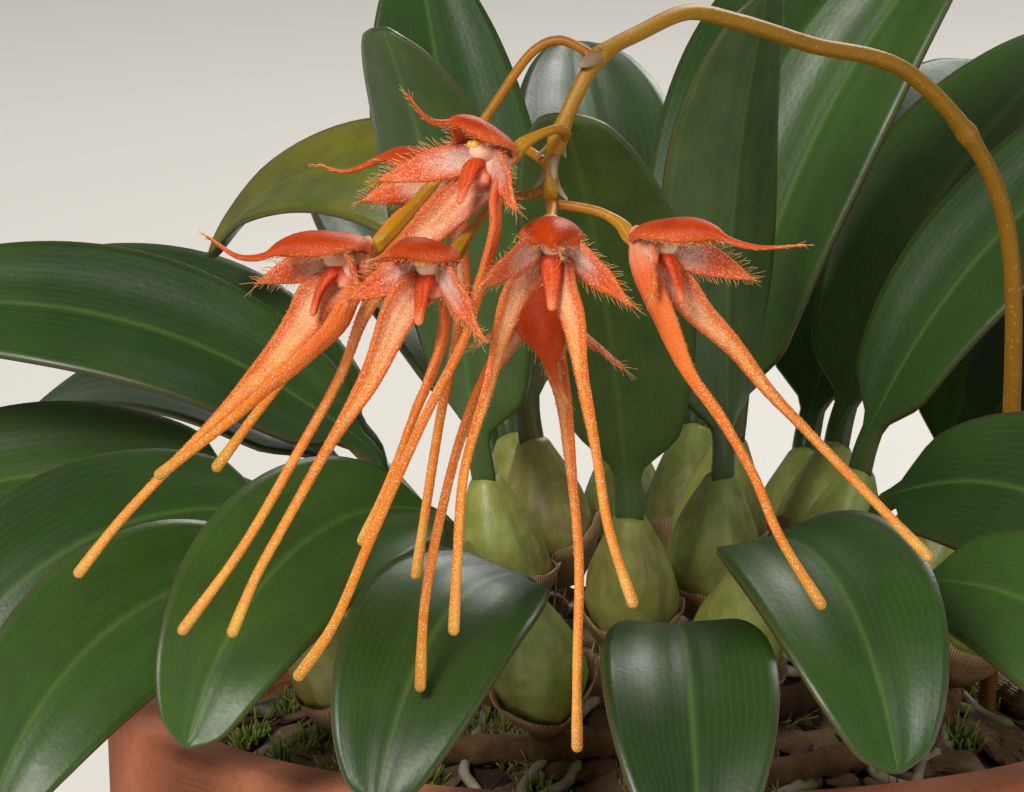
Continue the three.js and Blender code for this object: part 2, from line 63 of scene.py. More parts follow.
# %% Camera, floor and light
VIEW_TARGET = Vector((-8.1, -39.35, 68.7)) * MM
VIEW_DISTANCE = 600 * MM
VIEW_ELEVATION = math.radians(10)
FIELD_WIDTH = 56.32 * MM

camera_data = bpy.data.cameras.new("close_up_camera")
camera_data.sensor_width = 36
camera_data.lens = 36 * VIEW_DISTANCE / FIELD_WIDTH
camera_data.clip_start, camera_data.clip_end = 0.01, 20
camera = bpy.data.objects.new("close_up_camera", camera_data)
looking = Vector((0, math.cos(VIEW_ELEVATION), -math.sin(VIEW_ELEVATION)))
camera.location = VIEW_TARGET - looking * VIEW_DISTANCE
camera.rotation_euler = looking.to_track_quat("-Z", "Y").to_euler()
bpy.context.scene.collection.objects.link(camera)
bpy.context.scene.camera = camera
bpy.context.scene.view_settings.view_transform = "Standard"


def soft_panel(name, place, aim, size, power, tint):
    data = bpy.data.lights.new(name, "AREA")
    data.shape, data.size, data.energy, data.color = "DISK", size, power, tint
    panel = bpy.data.objects.new(name, data)
    panel.location = Vector(place)
    panel.rotation_euler = (Vector(aim) - panel.location).to_track_quat("-Z", "Y").to_euler()
    bpy.context.scene.collection.objects.link(panel)


UMBEL_AIM = (-0.008, -0.036, 0.065)
soft_panel("key_panel", (-0.32, -0.62, 0.52), UMBEL_AIM, 0.30, 6.6, (1.0, 0.97, 0.93))
soft_panel("fill_panel", (0.62, -0.42, 0.20), UMBEL_AIM, 0.50, 1.3, (0.94, 0.97, 1.0))
soft_panel("back_panel", (0.22, 0.50, 0.46), UMBEL_AIM, 0.35, 3.0, (1.0, 0.98, 0.95))

world = bpy.data.worlds.new("soft_room")
world.use_nodes = True
world.node_tree.nodes["Background"].inputs["Color"].default_value = (0.86, 0.85, 0.83, 1)
world.node_tree.nodes["Background"].inputs["Strength"].default_value = 0.26
bpy.context.scene.world = world

floor_mesh = bpy.data.meshes.new("floor")
FLOOR_REACH = 4.0
corners = [(-1, -1), (1, -1), (1, 1), (-1, 1)]
floor_mesh.from_pydata([(x * FLOOR_REACH, y * FLOOR_REACH, 0) for x, y in corners], [], [(0, 1, 2, 3)])
floor = bpy.data.objects.new("floor", floor_mesh)
bpy.context.scene.collection.objects.link(floor)
print("camera lens in mm:", round(camera_data.lens, 1))

# %% [markdown]
# ## Curves through points
#
# Stems, leaves and tails all follow a smooth line through a few chosen points. Blender has curve
# objects for that, but a leaf needs its width, fold and thickness to change along the line, so we
# sample the line ourselves. A centripetal Catmull-Rom spline passes through every point without
# loops. Then a frame is carried along it: at each step the old up direction is only straightened
# against the new tangent, so that nothing twists by accident.

# %% Curves through points
def smoothstep(value, low, high):
    share = np.clip((np.asarray(value, float) - low) / (high - low), 0, 1)
    return share * share * (3 - 2 * share)


def mix(a, b, share):
    return a + (b - a) * share


def follow(path, shares):
    """Places and unit tangents at these shares of the length of a smooth line through the points."""
    knots = np.asarray(path, float)
    ends = np.vstack([2 * knots[0] - knots[1], knots, 2 * knots[-1] - knots[-2]])
    pieces = []
    t = np.linspace(0, 1, 33)[:-1, None]
    for a, b, c, d in zip(ends, ends[1:], ends[2:], ends[3:]):
        before, here, after = (
            max(np.linalg.norm(q - p) ** 0.5, 1e-4) for p, q in ((a, b), (b, c), (c, d))
        )
        leave = here * ((b - a) / before - (c - a) / (before + here) + (c - b) / here)
        reach = here * ((c - b) / here - (d - b) / (here + after) + (d - c) / after)
        pieces.append(
            b * (2 * t**3 - 3 * t**2 + 1) + leave * (t**3 - 2 * t**2 + t)
            + c * (3 * t**2 - 2 * t**3) + reach * (t**3 - t**2)
        )
    fine = np.vstack([*pieces, knots[-1:]])
    run = np.concatenate([[0], np.cumsum(np.linalg.norm(np.diff(fine, axis=0), axis=1))])
    run /= run[-1]
    step = 4e-3

    def at(share):
        return np.stack([np.interp(share, run, fine[:, k]) for k in range(3)], 1)

    shares = np.asarray(shares, float)
    tangents = at(np.clip(shares + step, 0, 1)) - at(np.clip(shares - step, 0, 1))
    return at(shares), tangents / np.linalg.norm(tangents, axis=1, keepdims=True)


def carried_frame(tangents, hint):
    """Directions across and up at every station, without twist, up starting out along the hint."""
    up = np.asarray(hint, float)
    ups = []
    for along in tangents:
        up = up - along * up.dot(along)
        up = up / np.linalg.norm(up)
        ups.append(up)
    ups = np.array(ups)
    return np.cross(ups, tangents), ups


def stations(count, base_pull=1.0, tip_share=0.0, tip_count=0):
    """Shares of a length, crowded towards the base, with extra ones that round off the tip."""
    body = np.linspace(0, 1, count) ** base_pull
    if not tip_count:
        return body
    body = body[body < 1 - tip_share]
    turn = np.linspace(0, math.pi / 2, tip_count + 1)
    return np.concatenate([body, 1 - tip_share + tip_share * np.sin(turn)])


print("a leaf's stations:", np.round(stations(8, 1.0, 0.1, 3), 2))

# %% [markdown]
# ## Rings into skins
#
# A blade and a stalk are both a row of rings joined into a skin and closed at its ends. A ring round
# a stalk is a circle. A ring round a blade runs along its upper face and back along its lower one,
# on an arc that folds up at the edges, and it can turn into a circle where a petal narrows to a tail.
# A Solidify modifier on a flat sheet could do a plain leaf, but not that change of section.
# Every vertex also keeps where it is: its share along, its place across, and which face it is on.
# The materials read these, so that colour follows the form.

# %% Rings into skins
def skin(rings, along, across, face=0.0, looped=False):
    """Quads between rings (stations, points of a ring, xyz), with a fan over each end unless looped."""
    count, around, _ = rings.shape
    index = np.arange(count * around).reshape(count, around)
    following = np.vstack([index[1:], index[:1]]) if looped else index[1:]
    here = index if looped else index[:-1]
    quads = np.stack([here, np.roll(here, -1, 1), np.roll(following, -1, 1), following], -1)
    quads = quads.reshape(-1, 4)
    spread = [np.broadcast_to(value, (count, around)).ravel() for value in (along, across, face)]
    points = rings.reshape(-1, 3)
    fans = np.zeros((0, 3), int)
    if not looped:
        start, end = count * around, count * around + 1
        points = np.vstack([points, rings[0].mean(0), rings[-1].mean(0)])
        fans = np.concatenate([
            np.stack([np.full(around, start), np.roll(index[0], -1), index[0]], -1),
            np.stack([np.full(around, end), index[-1], np.roll(index[-1], -1)], -1),
        ])
        spread = [np.concatenate([row, [row[0], row[-1]]]) for row in spread]
    return {"points": points, "quads": quads, "fans": fans, "marks": np.stack(spread, 1), "rings": rings}


def tube(path, shares, sides, radius, hint=None, relief=None):
    """A stalk: circles of the given radius along a smooth line."""
    places, tangents = follow(path, shares)
    if hint is None:
        hint = (0, 1, 0) if abs(tangents[0][2]) > 0.5 else (0, 0, 1)
    across, up = carried_frame(tangents, hint)
    turn = np.arange(sides) * 2 * math.pi / sides
    reach = np.broadcast_to(np.asarray(radius, float), (len(shares),))[:, None] * np.ones(sides)
    if relief is not None:
        reach = reach + relief(np.asarray(shares)[:, None], turn[None, :])
    rings = places[:, None] + across[:, None] * (reach * np.cos(turn))[..., None]
    rings = rings + up[:, None] * (reach * np.sin(turn))[..., None]
    return skin(rings, np.asarray(shares)[:, None], np.sin(turn / 2)[None, :] * 2 - 1)


def blade(path, hint, shares, cells, width, thick, fold, roundness=0.0, rod=0.3, relief=None, lift=None):
    """A folded blade along a smooth line: width is its half width, and fold its rise at the edges."""
    places, tangents = follow(path, shares)
    across, up = carried_frame(tangents, hint)
    shares = np.asarray(shares, float)[:, None]
    width, thick, fold, roundness, rod = (
        np.broadcast_to(np.asarray(value, float), (len(shares),))[:, None]
        for value in (width, thick, fold, roundness, rod)
    )
    spread = width / fold
    order = np.linspace(1, -1, cells + 1)[None, :]
    rings, marks, faces = [], [], []
    for side in (1, -1):
        v = side * order
        half = 0.5 * thick * np.sqrt(1 - 0.75 * v**2)
        if relief is not None:
            half = half + relief(shares, v, side)
        reach = spread - side * half
        x = reach * np.sin(fold * v)
        y = spread - reach * np.cos(fold * v)
        if lift is not None:
            y = y + lift(shares, v)
        turn = math.pi * (np.arange(cells + 1) + 0.5) / (cells + 1) + (0 if side > 0 else math.pi)
        x = mix(x, rod * np.cos(turn), roundness)
        y = mix(y, rod * np.sin(turn), roundness)
        rings.append(places[:, None] + across[:, None] * x[..., None] + up[:, None] * y[..., None])
        marks.append(v)
        faces.append(np.full_like(v, side))
    return skin(np.concatenate(rings, 1), shares, np.concatenate(marks, 1), np.concatenate(faces, 1))


print("functions for tubes and blades are ready")

# %% [markdown]
# ## From skins to an object
#
# One object can hold several skins with several materials, such as a leaf and the pseudobulb that
# it grows from. Here the points go from millimetres to metres, the marks become attributes, and the
# object is tied to the frame: it rides on the plant, and the solids that it stands for are hidden.

# %% From skins to an object
tally = {}


def make_piece(name, parts, nodes, tone=0.0, flat=(), where=None):
    """parts is a list of (skin, material). nodes are the solids that the piece stands for."""
    materials = []
    points, faces, marks, tints, smooth = [], [], [], [], []
    start = 0
    for part, material in parts:
        if material not in materials:
            materials.append(material)
        rows = [*(part["quads"] + start).tolist(), *(part["fans"] + start).tolist()]
        rows += [[index + start for index in face] for face in part.get("loose", ())]
        faces += rows
        tints += [materials.index(material)] * len(rows)
        smooth += [material not in flat] * len(rows)
        points.append(part["points"])
        marks.append(part["marks"])
        start += len(part["points"])
    points, marks = np.vstack(points), np.vstack(marks)
    points = points if where is None else where(points)
    mesh = bpy.data.meshes.new(name)
    mesh.from_pydata((points * MM).tolist(), [], faces)
    for title, values in zip(("along", "across", "face", "tone"), (*marks.T, np.full(len(points), tone))):
        kept = mesh.attributes.new(title, "FLOAT", "POINT")
        kept.data.foreach_set("value", values.astype(np.float32))
    mesh.polygons.foreach_set("material_index", tints)
    mesh.polygons.foreach_set("use_smooth", smooth)
    for material in materials:
        mesh.materials.append(material)
    mesh.update()
    piece = bpy.data.objects.new(name, mesh)
    bpy.context.scene.collection.objects.link(piece)
    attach(piece, "root")
    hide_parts(*nodes)
    tally[name] = sum(len(face) - 2 for face in faces)
    return piece


print("pieces so far:", len(tally))

# %% [markdown]
# ## Shader building blocks
#
# Living tissue is never one colour. Four effects come back in almost every material here, so each is
# a node group with named inputs, placed with its own values: soft patches of a second tint, a skin of
# tiny domed cells with a painted highlight on some tops and painted shade between them, veins that run
# the length of a blade, and a rough grain for bark and clay. The alternative, copying the same nodes
# into every material, is hard to keep in step.

# %% Shader building blocks
def tint(code):
    """A colour written as on the web, as the linear values that the shader works in."""
    parts = [int(code[i : i + 2], 16) / 255 for i in (1, 3, 5)]
    return (*(p / 12.92 if p <= 0.04045 else ((p + 0.055) / 1.055) ** 2.4 for p in parts), 1.0)


def feed(tree, socket, value):
    """Link a socket to another node's output, or set it to a plain value or to a colour's code."""
    if isinstance(value, bpy.types.NodeSocket):
        tree.links.new(value, socket)
    else:
        socket.default_value = tint(value) if isinstance(value, str) else value


def node(tree, kind, inputs=None, **settings):
    """A new node, with its settings and its inputs."""
    made = tree.nodes.new(kind)
    for key, value in settings.items():
        setattr(made, key, value)
    for key, value in (inputs or {}).items():
        feed(tree, made.inputs[key], value)
    return made


def math_node(tree, operation, a, b=0.0, clamp=False):
    return node(tree, "ShaderNodeMath", {0: a, 1: b}, operation=operation, use_clamp=clamp).outputs[0]


def times(tree, *values):
    product = values[0]
    for value in values[1:]:
        product = math_node(tree, "MULTIPLY", product, value)
    return product


def band(tree, value, low, high, how="SMOOTHSTEP"):
    """1 above high and 0 below low, with a soft step between. Swap them for the opposite."""
    made = node(tree, "ShaderNodeMapRange", {0: value, 1: low, 2: high}, interpolation_type=how)
    return made.outputs[0]


def blend(tree, factor, a, b, how="MIX"):
    settings = {"data_type": "RGBA", "blend_type": how, "clamp_factor": True}
    return node(tree, "ShaderNodeMix", {0: factor, 6: a, 7: b}, **settings).outputs[2]


def ramp(tree, factor, stops, smooth=True):
    """A colour that changes with the factor. Stops is a list of (position, colour's code)."""
    made = node(tree, "ShaderNodeValToRGB", {"Fac": factor})
    made.color_ramp.interpolation = "EASE" if smooth else "LINEAR"
    while len(made.color_ramp.elements) < len(stops):
        made.color_ramp.elements.new(0.5)
    for element, (position, colour) in zip(made.color_ramp.elements, stops):
        element.position, element.color = position, tint(colour)
    return made.outputs["Color"]


def mark(tree, title):
    return node(tree, "ShaderNodeAttribute", attribute_name=title).outputs["Fac"]


def effect(name, inputs, outputs):
    """A shader node group with these named sockets: (tree, its inputs, its outputs)."""
    tree = bpy.data.node_groups.new(name, "ShaderNodeTree")
    for title, kind, value in inputs:
        socket = tree.interface.new_socket(name=title, in_out="INPUT", socket_type=kind)
        socket.default_value = value
    for title, kind in outputs:
        tree.interface.new_socket(name=title, in_out="OUTPUT", socket_type=kind)
    return tree, tree.nodes.new("NodeGroupInput").outputs, tree.nodes.new("NodeGroupOutput").inputs


def place(tree, group, inputs):
    return node(tree, "ShaderNodeGroup", inputs, node_tree=group).outputs


FLOAT, COLOUR = "NodeSocketFloat", "NodeSocketColor"

patches, given, out = effect(
    "Soft patches",
    [("Base", COLOUR, (1, 1, 1, 1)), ("Second", COLOUR, (0, 0, 0, 1)), ("Scale", FLOAT, 400),
     ("Amount", FLOAT, 0.5)],
    [("Color", COLOUR), ("Mask", FLOAT)],
)
spot = node(patches, "ShaderNodeTexCoord").outputs["Object"]
cloud = node(patches, "ShaderNodeTexNoise", {
    "Vector": spot, "Scale": given["Scale"], "Detail": 3.0, "Roughness": 0.6,
})
cloud = band(patches, cloud.outputs["Fac"], 0.38, 0.66, "LINEAR")
cloud = math_node(patches, "MULTIPLY", cloud, given["Amount"], clamp=True)
patches.links.new(blend(patches, cloud, given["Base"], given["Second"]), out["Color"])
patches.links.new(cloud, out["Mask"])

cells, given, out = effect(
    "Cells with painted glints and shade",
    [("Scale", FLOAT, 7500), ("Share that glints", FLOAT, 0.25)],
    [("Height", FLOAT), ("Painted glints", FLOAT), ("Painted gap shade", FLOAT)],
)
spot = node(cells, "ShaderNodeTexCoord").outputs["Object"]
dome = node(cells, "ShaderNodeTexVoronoi", {"Vector": spot, "Scale": given["Scale"]}, feature="F1")
height = math_node(cells, "SUBTRACT", 1.0, dome.outputs["Distance"], clamp=True)
height = math_node(cells, "POWER", height, 1.6)
# Painted highlight: the glint mask marks the tops of a share of the cells. Painted shade: the gap mask marks
# the foot of every cell.
chance = node(cells, "ShaderNodeSeparateColor", {"Color": dome.outputs["Color"]}).outputs[0]
chosen = math_node(cells, "LESS_THAN", chance, given["Share that glints"])
peak = band(cells, height, 0.36, 0.62, "LINEAR")
cells.links.new(height, out["Height"])
cells.links.new(math_node(cells, "MULTIPLY", chosen, peak), out["Painted glints"])
cells.links.new(band(cells, height, 0.50, 0.22, "LINEAR"), out["Painted gap shade"])

veins, given, out = effect(
    "Running veins",
    [("Count", FLOAT, 9), ("Sharpness", FLOAT, 6), ("Wander", FLOAT, 0.15)],
    [("Lines", FLOAT)],
)
spot = node(veins, "ShaderNodeTexCoord").outputs["Object"]
drift = node(veins, "ShaderNodeTexNoise", {"Vector": spot, "Scale": 260.0, "Detail": 2.0}).outputs["Fac"]
drift = math_node(veins, "MULTIPLY", math_node(veins, "SUBTRACT", drift, 0.5), given["Wander"])
phase = math_node(veins, "ADD", mark(veins, "across"), drift)
phase = math_node(veins, "MULTIPLY", phase, math_node(veins, "MULTIPLY", given["Count"], math.pi))
wave = math_node(veins, "ABSOLUTE", math_node(veins, "COSINE", phase))
veins.links.new(math_node(veins, "POWER", wave, given["Sharpness"]), out["Lines"])

grain, given, out = effect(
    "Rough grain",
    [("Scale", FLOAT, 900), ("Stretch", FLOAT, 1.0), ("Coarse", FLOAT, 0.65)],
    [("Height", FLOAT), ("Pits", FLOAT)],
)
spot = node(grain, "ShaderNodeTexCoord").outputs["Object"]
squeeze = node(grain, "ShaderNodeCombineXYZ", {0: 1.0, 1: 1.0, 2: given["Stretch"]}).outputs[0]
spot = node(grain, "ShaderNodeVectorMath", {0: spot, 1: squeeze}, operation="MULTIPLY").outputs[0]
rough = node(grain, "ShaderNodeTexNoise", {
    "Vector": spot, "Scale": given["Scale"], "Detail": 6.0, "Roughness": given["Coarse"],
}).outputs["Fac"]
grain.links.new(rough, out["Height"])
pits = band(grain, rough, 0.46, 0.34, "LINEAR")
grain.links.new(pits, out["Pits"])
print("node groups:", [group.name for group in bpy.data.node_groups])

# %% Effects and finishes in short
def mottle(tree, base, second, scale, amount):
    """A base colour with soft patches of a second one. A larger scale makes smaller patches."""
    return place(tree, patches, {"Base": base, "Second": second, "Scale": scale, "Amount": amount})


def glints(tree, scale, share):
    """Domed cells, with a painted highlight on the tops of this share and painted shade between them."""
    return place(tree, cells, {"Scale": scale, "Share that glints": share})


def veined(tree, count, sharpness, wander):
    """Lines along a blade, as a value from 0 between them to 1 on them."""
    return place(tree, veins, {"Count": count, "Sharpness": sharpness, "Wander": wander})["Lines"]


def roughen(tree, scale, coarse, stretch=1.0):
    """A grainy height and its pits. Stretch squeezes the grain along the object's height."""
    return place(tree, grain, {"Scale": scale, "Stretch": stretch, "Coarse": coarse})


def drive(tree, shader, **sockets):
    for key, value in sockets.items():
        feed(tree, shader.inputs[key.replace("_", " ")], value)


def finish(name, **sockets):
    """A material with its Principled shader, whose plain values are set on the shader's own sockets."""
    material = bpy.data.materials.new(name)
    material.use_nodes = True
    shader = material.node_tree.nodes["Principled BSDF"]
    drive(material.node_tree, shader, **sockets)
    return material, material.node_tree, shader


def bump(tree, height, strength, distance):
    made = node(tree, "ShaderNodeBump", {"Height": height, "Strength": strength, "Distance": distance * MM})
    return made.outputs["Normal"]


floor_mesh.materials.append(finish("pale_floor", Base_Color="#d9d6cf", Roughness=0.85)[0])
print("materials so far:", len(bpy.data.materials))

# %% [markdown]
# ## Small shared helpers for living things
#
# A fringe is many fine hairs, each a tapered tube that leaves its root one way and bends another. The
# glistening cells of a petal are little cones, made by the same function. Blender's hair system could
# grow them, but hair doesn't leave Blender with the model, so they are built as a mesh like everything
# else. Chance comes from generators with fixed seeds, so the same plant grows every time.

# %% Hairs, margins and the umbel's own frame
UMBEL_PLACE = np.array([-6.0, -37.0, 82.0])
UMBEL_TILT = math.radians(-10)


def from_umbel(points):
    """From the umbel's frame, in which the flowers are given, to the pot's frame."""
    x, y, z = np.asarray(points, float).T
    cos, sin = math.cos(UMBEL_TILT), math.sin(UMBEL_TILT)
    return np.stack([x, y * cos - z * sin, y * sin + z * cos], 1) + UMBEL_PLACE


def to_umbel(points):
    x, y, z = (np.asarray(points, float) - UMBEL_PLACE).T
    cos, sin = math.cos(UMBEL_TILT), math.sin(UMBEL_TILT)
    return np.stack([x, y * cos + z * sin, z * cos - y * sin], 1)


def unit(vectors):
    return vectors / np.maximum(np.linalg.norm(vectors, axis=-1, keepdims=True), 1e-9)


def hairs(roots, leans, bends, lengths, thick, sides=3, steps=3):
    """Tapered hairs. A hair leaves its root along its lean and is pulled aside by its bend."""
    leans = unit(leans)
    count = len(roots)
    share = np.linspace(0, 1, steps + 1)
    middle = leans[:, None] * share[None, :, None] + bends[:, None] * (share**2)[None, :, None]
    middle = roots[:, None] + middle * np.asarray(lengths)[:, None, None]
    aside = unit(np.cross(leans, bends + np.array([0.013, 0.007, 0.011])))
    above = np.cross(leans, aside)
    turn = np.arange(sides) * 2 * math.pi / sides
    circle = aside[:, None] * np.cos(turn)[None, :, None] + above[:, None] * np.sin(turn)[None, :, None]
    radius = np.broadcast_to(np.asarray(thick, float), (count,))[:, None] * (1 - 0.75 * share)[None]
    points = middle[:, :, None] + circle[:, None] * radius[:, :, None, None]
    index = np.arange(count * (steps + 1) * sides).reshape(count, steps + 1, sides)
    low, high = index[:, :-1], index[:, 1:]
    quads = np.stack([low, np.roll(low, -1, 2), np.roll(high, -1, 2), high], -1).reshape(-1, 4)
    marks = np.zeros((points[..., 0].size, 3))
    marks[:, 0] = np.broadcast_to(share[None, :, None], (count, steps + 1, sides)).ravel()
    return {"points": points.reshape(-1, 3), "quads": quads, "fans": index[:, -1, :3], "marks": marks}


def margin(part, low, high, spacing, rng):
    """Points along both edges of a blade: root, way out, way to the tip, share, and which edge."""
    rings = part["rings"]
    cells = rings.shape[1] // 2 - 1
    centre = rings.mean(1)
    found = []
    for which, first, second in ((1.0, 0, -1), (-1.0, cells, cells + 1)):
        edge = (rings[:, first] + rings[:, second]) / 2
        out = unit(edge - centre)
        run = np.concatenate([[0], np.cumsum(np.linalg.norm(np.diff(edge, axis=0), axis=1))])
        count = max(2, int((high - low) * run[-1] / spacing))
        at = (np.linspace(low, high, count) + rng.uniform(-0.35, 0.35, count) * spacing / run[-1]) * run[-1]
        at = np.clip(at, 0, run[-1] * 0.999)
        along = unit(np.gradient(edge, axis=0))
        pick = [np.stack([np.interp(at, run, row[:, k]) for k in range(3)], 1) for row in (edge, out, along)]
        found.append([*pick, at / run[-1], np.full(count, which)])
    return [np.concatenate(row) for row in zip(*found)]


def papillae(part, low, high, count, size, rng):
    """Tiny cones on the inner face of a blade, each with the marks of the place that it grows from."""
    rings = part["rings"]
    rows, around, _ = rings.shape
    marks = part["marks"][: rows * around].reshape(rows, around, 3)
    one, two = rings[:-1], rings[1:]
    side, up = np.roll(one, -1, 1) - one, two - one
    normal = np.cross(side, up)
    area = np.linalg.norm(normal, axis=2)
    share, face = marks[:-1, :, 0], marks[:-1, :, 2]
    area = np.where((share > low) & (share < high) & (face > 0), area, 0).ravel()
    pick = rng.choice(len(area), count, p=area / area.sum())
    i, j = np.divmod(pick, around)
    u, w = rng.uniform(size=(count, 1)), rng.uniform(size=(count, 1))
    roots = one[i, j] + side[i, j] * u + up[i, j] * w
    out = unit(normal[i, j])
    leans = out + unit(up[i, j]) * 0.35 + rng.normal(0, 0.12, (count, 3))
    lengths = size * rng.uniform(0.6, 1.2, count)
    cones = hairs(roots - out * 0.02, leans, out * 0.05, lengths, size * 0.6, 3, 1)
    cones["marks"] = np.repeat(marks[i, j], 6, axis=0)
    return cones


def rounded(shares, tip):
    """How a rod's radius closes over its last stretch, as half a ball does."""
    over = np.clip((np.asarray(shares) - (1 - tip)) / tip, 0, 1)
    return np.sqrt(np.maximum(1 - over**2, 0.0025))


def jitter(item, trait):
    """The same repeatable number from -1 to 1 that placed the solids."""
    wave = math.sin(item * 12.9898 + trait * 78.233 + 42) * 43758.5453
    return 2 * (wave - math.floor(wave)) - 1


print("umbel in the pot's frame:", from_umbel([(0, 0, 0)])[0])

# %% [markdown]
# ## The clay pot
#
# A thrown or pressed clay pot is a solid of revolution: a wall that widens upwards, a thicker band at
# the rim, soft edges, and holes in its foot for the water. A Screw modifier on a profile would do it.
# We lathe the profile in code instead, so that the rounded edges get enough points, and cut the four
# holes with a Boolean that is applied at once, so that the piece stays plain mesh.

# %% Fired clay
def clay_material():
    material, tree, shader = finish("fired_clay", Roughness=0.88)
    bloom = mottle(tree, "#b5653f", "#c68a69", 42.0, 0.4)
    soot = mottle(tree, bloom["Color"], "#8b5035", 130.0, 0.22)
    spot = node(tree, "ShaderNodeTexCoord").outputs["Object"]
    height = node(tree, "ShaderNodeSeparateXYZ", {0: spot}).outputs[2]
    damp = band(tree, height, 0.012, 0.0, "LINEAR")
    cloud = node(tree, "ShaderNodeTexNoise", {"Vector": spot, "Scale": 150.0, "Detail": 4.0}).outputs["Fac"]
    damp = math_node(tree, "MULTIPLY", damp, cloud, clamp=True)
    colour = blend(tree, damp, soot["Color"], "#5d3a26")
    speck = roughen(tree, 1500.0, 0.7)
    colour = blend(tree, times(tree, speck["Pits"], 0.55), colour, "#8a4c2e")
    rings = node(tree, "ShaderNodeVectorMath", {0: spot, 1: (0.05, 0.05, 9.0)}, operation="MULTIPLY")
    wheel = node(tree, "ShaderNodeTexNoise", {"Vector": rings.outputs[0], "Scale": 160.0, "Detail": 2.0})
    wheel = wheel.outputs["Fac"]
    relief = math_node(tree, "ADD", times(tree, wheel, 1.6), speck["Height"])
    rough = math_node(tree, "ADD", 0.78, times(tree, speck["Height"], 0.2))
    drive(tree, shader, Base_Color=colour, Roughness=rough, Normal=bump(tree, relief, 0.5, 0.25))
    return material


clay = clay_material()
print("clay nodes:", len(clay.node_tree.nodes))

# %% Lathe and drill the pot
POT_HEIGHT, FOOT_RADIUS, NECK_RADIUS, RIM_RADIUS = 44.0, 23.5, 29.3, 32.0
BAND_FOOT, WALL, POT_FLOOR = 33.0, 3.2, 3.5
WALL_SLOPE = (NECK_RADIUS - FOOT_RADIUS) / BAND_FOOT
DRAIN_RADIUS, DRAIN_RING = 2.8, 11.0


def inner_radius(z):
    return FOOT_RADIUS - WALL + WALL_SLOPE * z


def soft_profile(corners):
    """The corners as (radius, height, rounding), each rounding replaced by a short arc."""
    line = []
    for before, here, after in zip(corners[-1:] + corners[:-1], corners, corners[1:] + corners[:1]):
        at, size = np.array(here[:2]), here[2]
        if size == 0:
            line.append(at)
            continue
        start = at + unit(np.array(before[:2]) - at) * size
        end = at + unit(np.array(after[:2]) - at) * size
        for share in np.linspace(0, 1, 6):
            line.append(start * (1 - share) ** 2 + 2 * at * share * (1 - share) + end * share**2)
    return np.array(line)


profile = soft_profile([
    (0.6, 0.0, 0), (12, 0.0, 0), (FOOT_RADIUS - 0.1, 0.0, 0.8), (inner_radius(8) + WALL, 8, 0),
    (inner_radius(20) + WALL, 20, 0), (NECK_RADIUS, BAND_FOOT, 0.5), (RIM_RADIUS - 0.5, BAND_FOOT, 0.6),
    (RIM_RADIUS - 0.2, BAND_FOOT + 5, 0), (RIM_RADIUS, POT_HEIGHT, 1.1),
    (inner_radius(POT_HEIGHT), POT_HEIGHT, 1.0), (inner_radius(20), 20, 0),
    (inner_radius(POT_FLOOR), POT_FLOOR, 1.5), (12, POT_FLOOR, 0), (0.6, POT_FLOOR, 0),
])
SIDES = 112
turn = np.arange(SIDES) * 2 * math.pi / SIDES
rings = np.stack([
    profile[:, :1] * np.cos(turn)[None], profile[:, :1] * np.sin(turn)[None],
    np.repeat(profile[:, 1:], SIDES, 1),
], -1)
pot = make_piece("pot_body", [(skin(rings, 0.0, 0.0), clay)], ["pot"])

cutter_mesh = bpy.data.meshes.new("drain_cutter")
drill = bmesh.new()
for k in range(4):
    angle = math.pi * (k + 0.5) / 2
    made = bmesh.ops.create_cone(
        drill, cap_ends=True, segments=28, radius1=DRAIN_RADIUS * MM, radius2=DRAIN_RADIUS * MM, depth=0.02
    )
    middle = Vector((math.cos(angle), math.sin(angle), 0)) * DRAIN_RING * MM
    bmesh.ops.translate(drill, verts=made["verts"], vec=middle)
drill.to_mesh(cutter_mesh)
drill.free()
cutter = bpy.data.objects.new("drain_cutter", cutter_mesh)
bpy.context.scene.collection.objects.link(cutter)
cut = pot.modifiers.new("drains", "BOOLEAN")
cut.operation, cut.object, cut.solver = "DIFFERENCE", cutter, "EXACT"
drilled = bpy.data.meshes.new_from_object(pot.evaluated_get(bpy.context.evaluated_depsgraph_get()))
pot.modifiers.clear()
pot.data = drilled
bpy.data.objects.remove(cutter)
bpy.data.meshes.remove(cutter_mesh)
print("pot faces:", len(pot.data.polygons))

# %% [markdown]
# ## Heaped bark
#
# An orchid of this kind is grown in chips of bark, with air between them. The chips lie flat more or
# less, tipped a little, each with split edges. We lay a dark crumbly mound first and then bed some
# hundreds of chips in it, each the convex hull of a few points in a flat slab. A scatter of copies
# from Geometry Nodes would be lighter, but every chip here should be its own shape.

# %% Bark and crumb
def bark_material():
    material, tree, shader = finish("bark_chip", Roughness=0.9)
    warm = mottle(tree, "#5f3f29", "#8f6a47", 170.0, 0.9)
    split = roughen(tree, 700.0, 0.7, 4.0)
    colour = blend(tree, times(tree, split["Pits"], 0.8), warm["Color"], "#2c1c12")
    dust = mottle(tree, colour, "#a3907a", 420.0, 0.3)
    green = mottle(tree, dust["Color"], "#5c6a35", 60.0, 0.35)
    rough = math_node(tree, "ADD", 0.75, times(tree, split["Height"], 0.25))
    relief = bump(tree, split["Height"], 0.8, 0.5)
    drive(tree, shader, Base_Color=green["Color"], Roughness=rough, Normal=relief)
    return material


def crumb_material():
    material, tree, shader = finish("dark_crumb", Roughness=0.95)
    rough = roughen(tree, 900.0, 0.75)
    crumb = mottle(tree, "#2a1c13", "#5a4028", 700.0, 0.8)
    colour = blend(tree, rough["Pits"], crumb["Color"], "#150d08")
    drive(tree, shader, Base_Color=colour, Normal=bump(tree, rough["Height"], 1.0, 0.8))
    return material


bark, crumb = bark_material(), crumb_material()
print("bark nodes:", len(bark.node_tree.nodes))

# %% The mound and its chips
EDGE_REACH, EDGE_HEIGHT, MOUND_RISE = 26.6, 40.0, 8.0


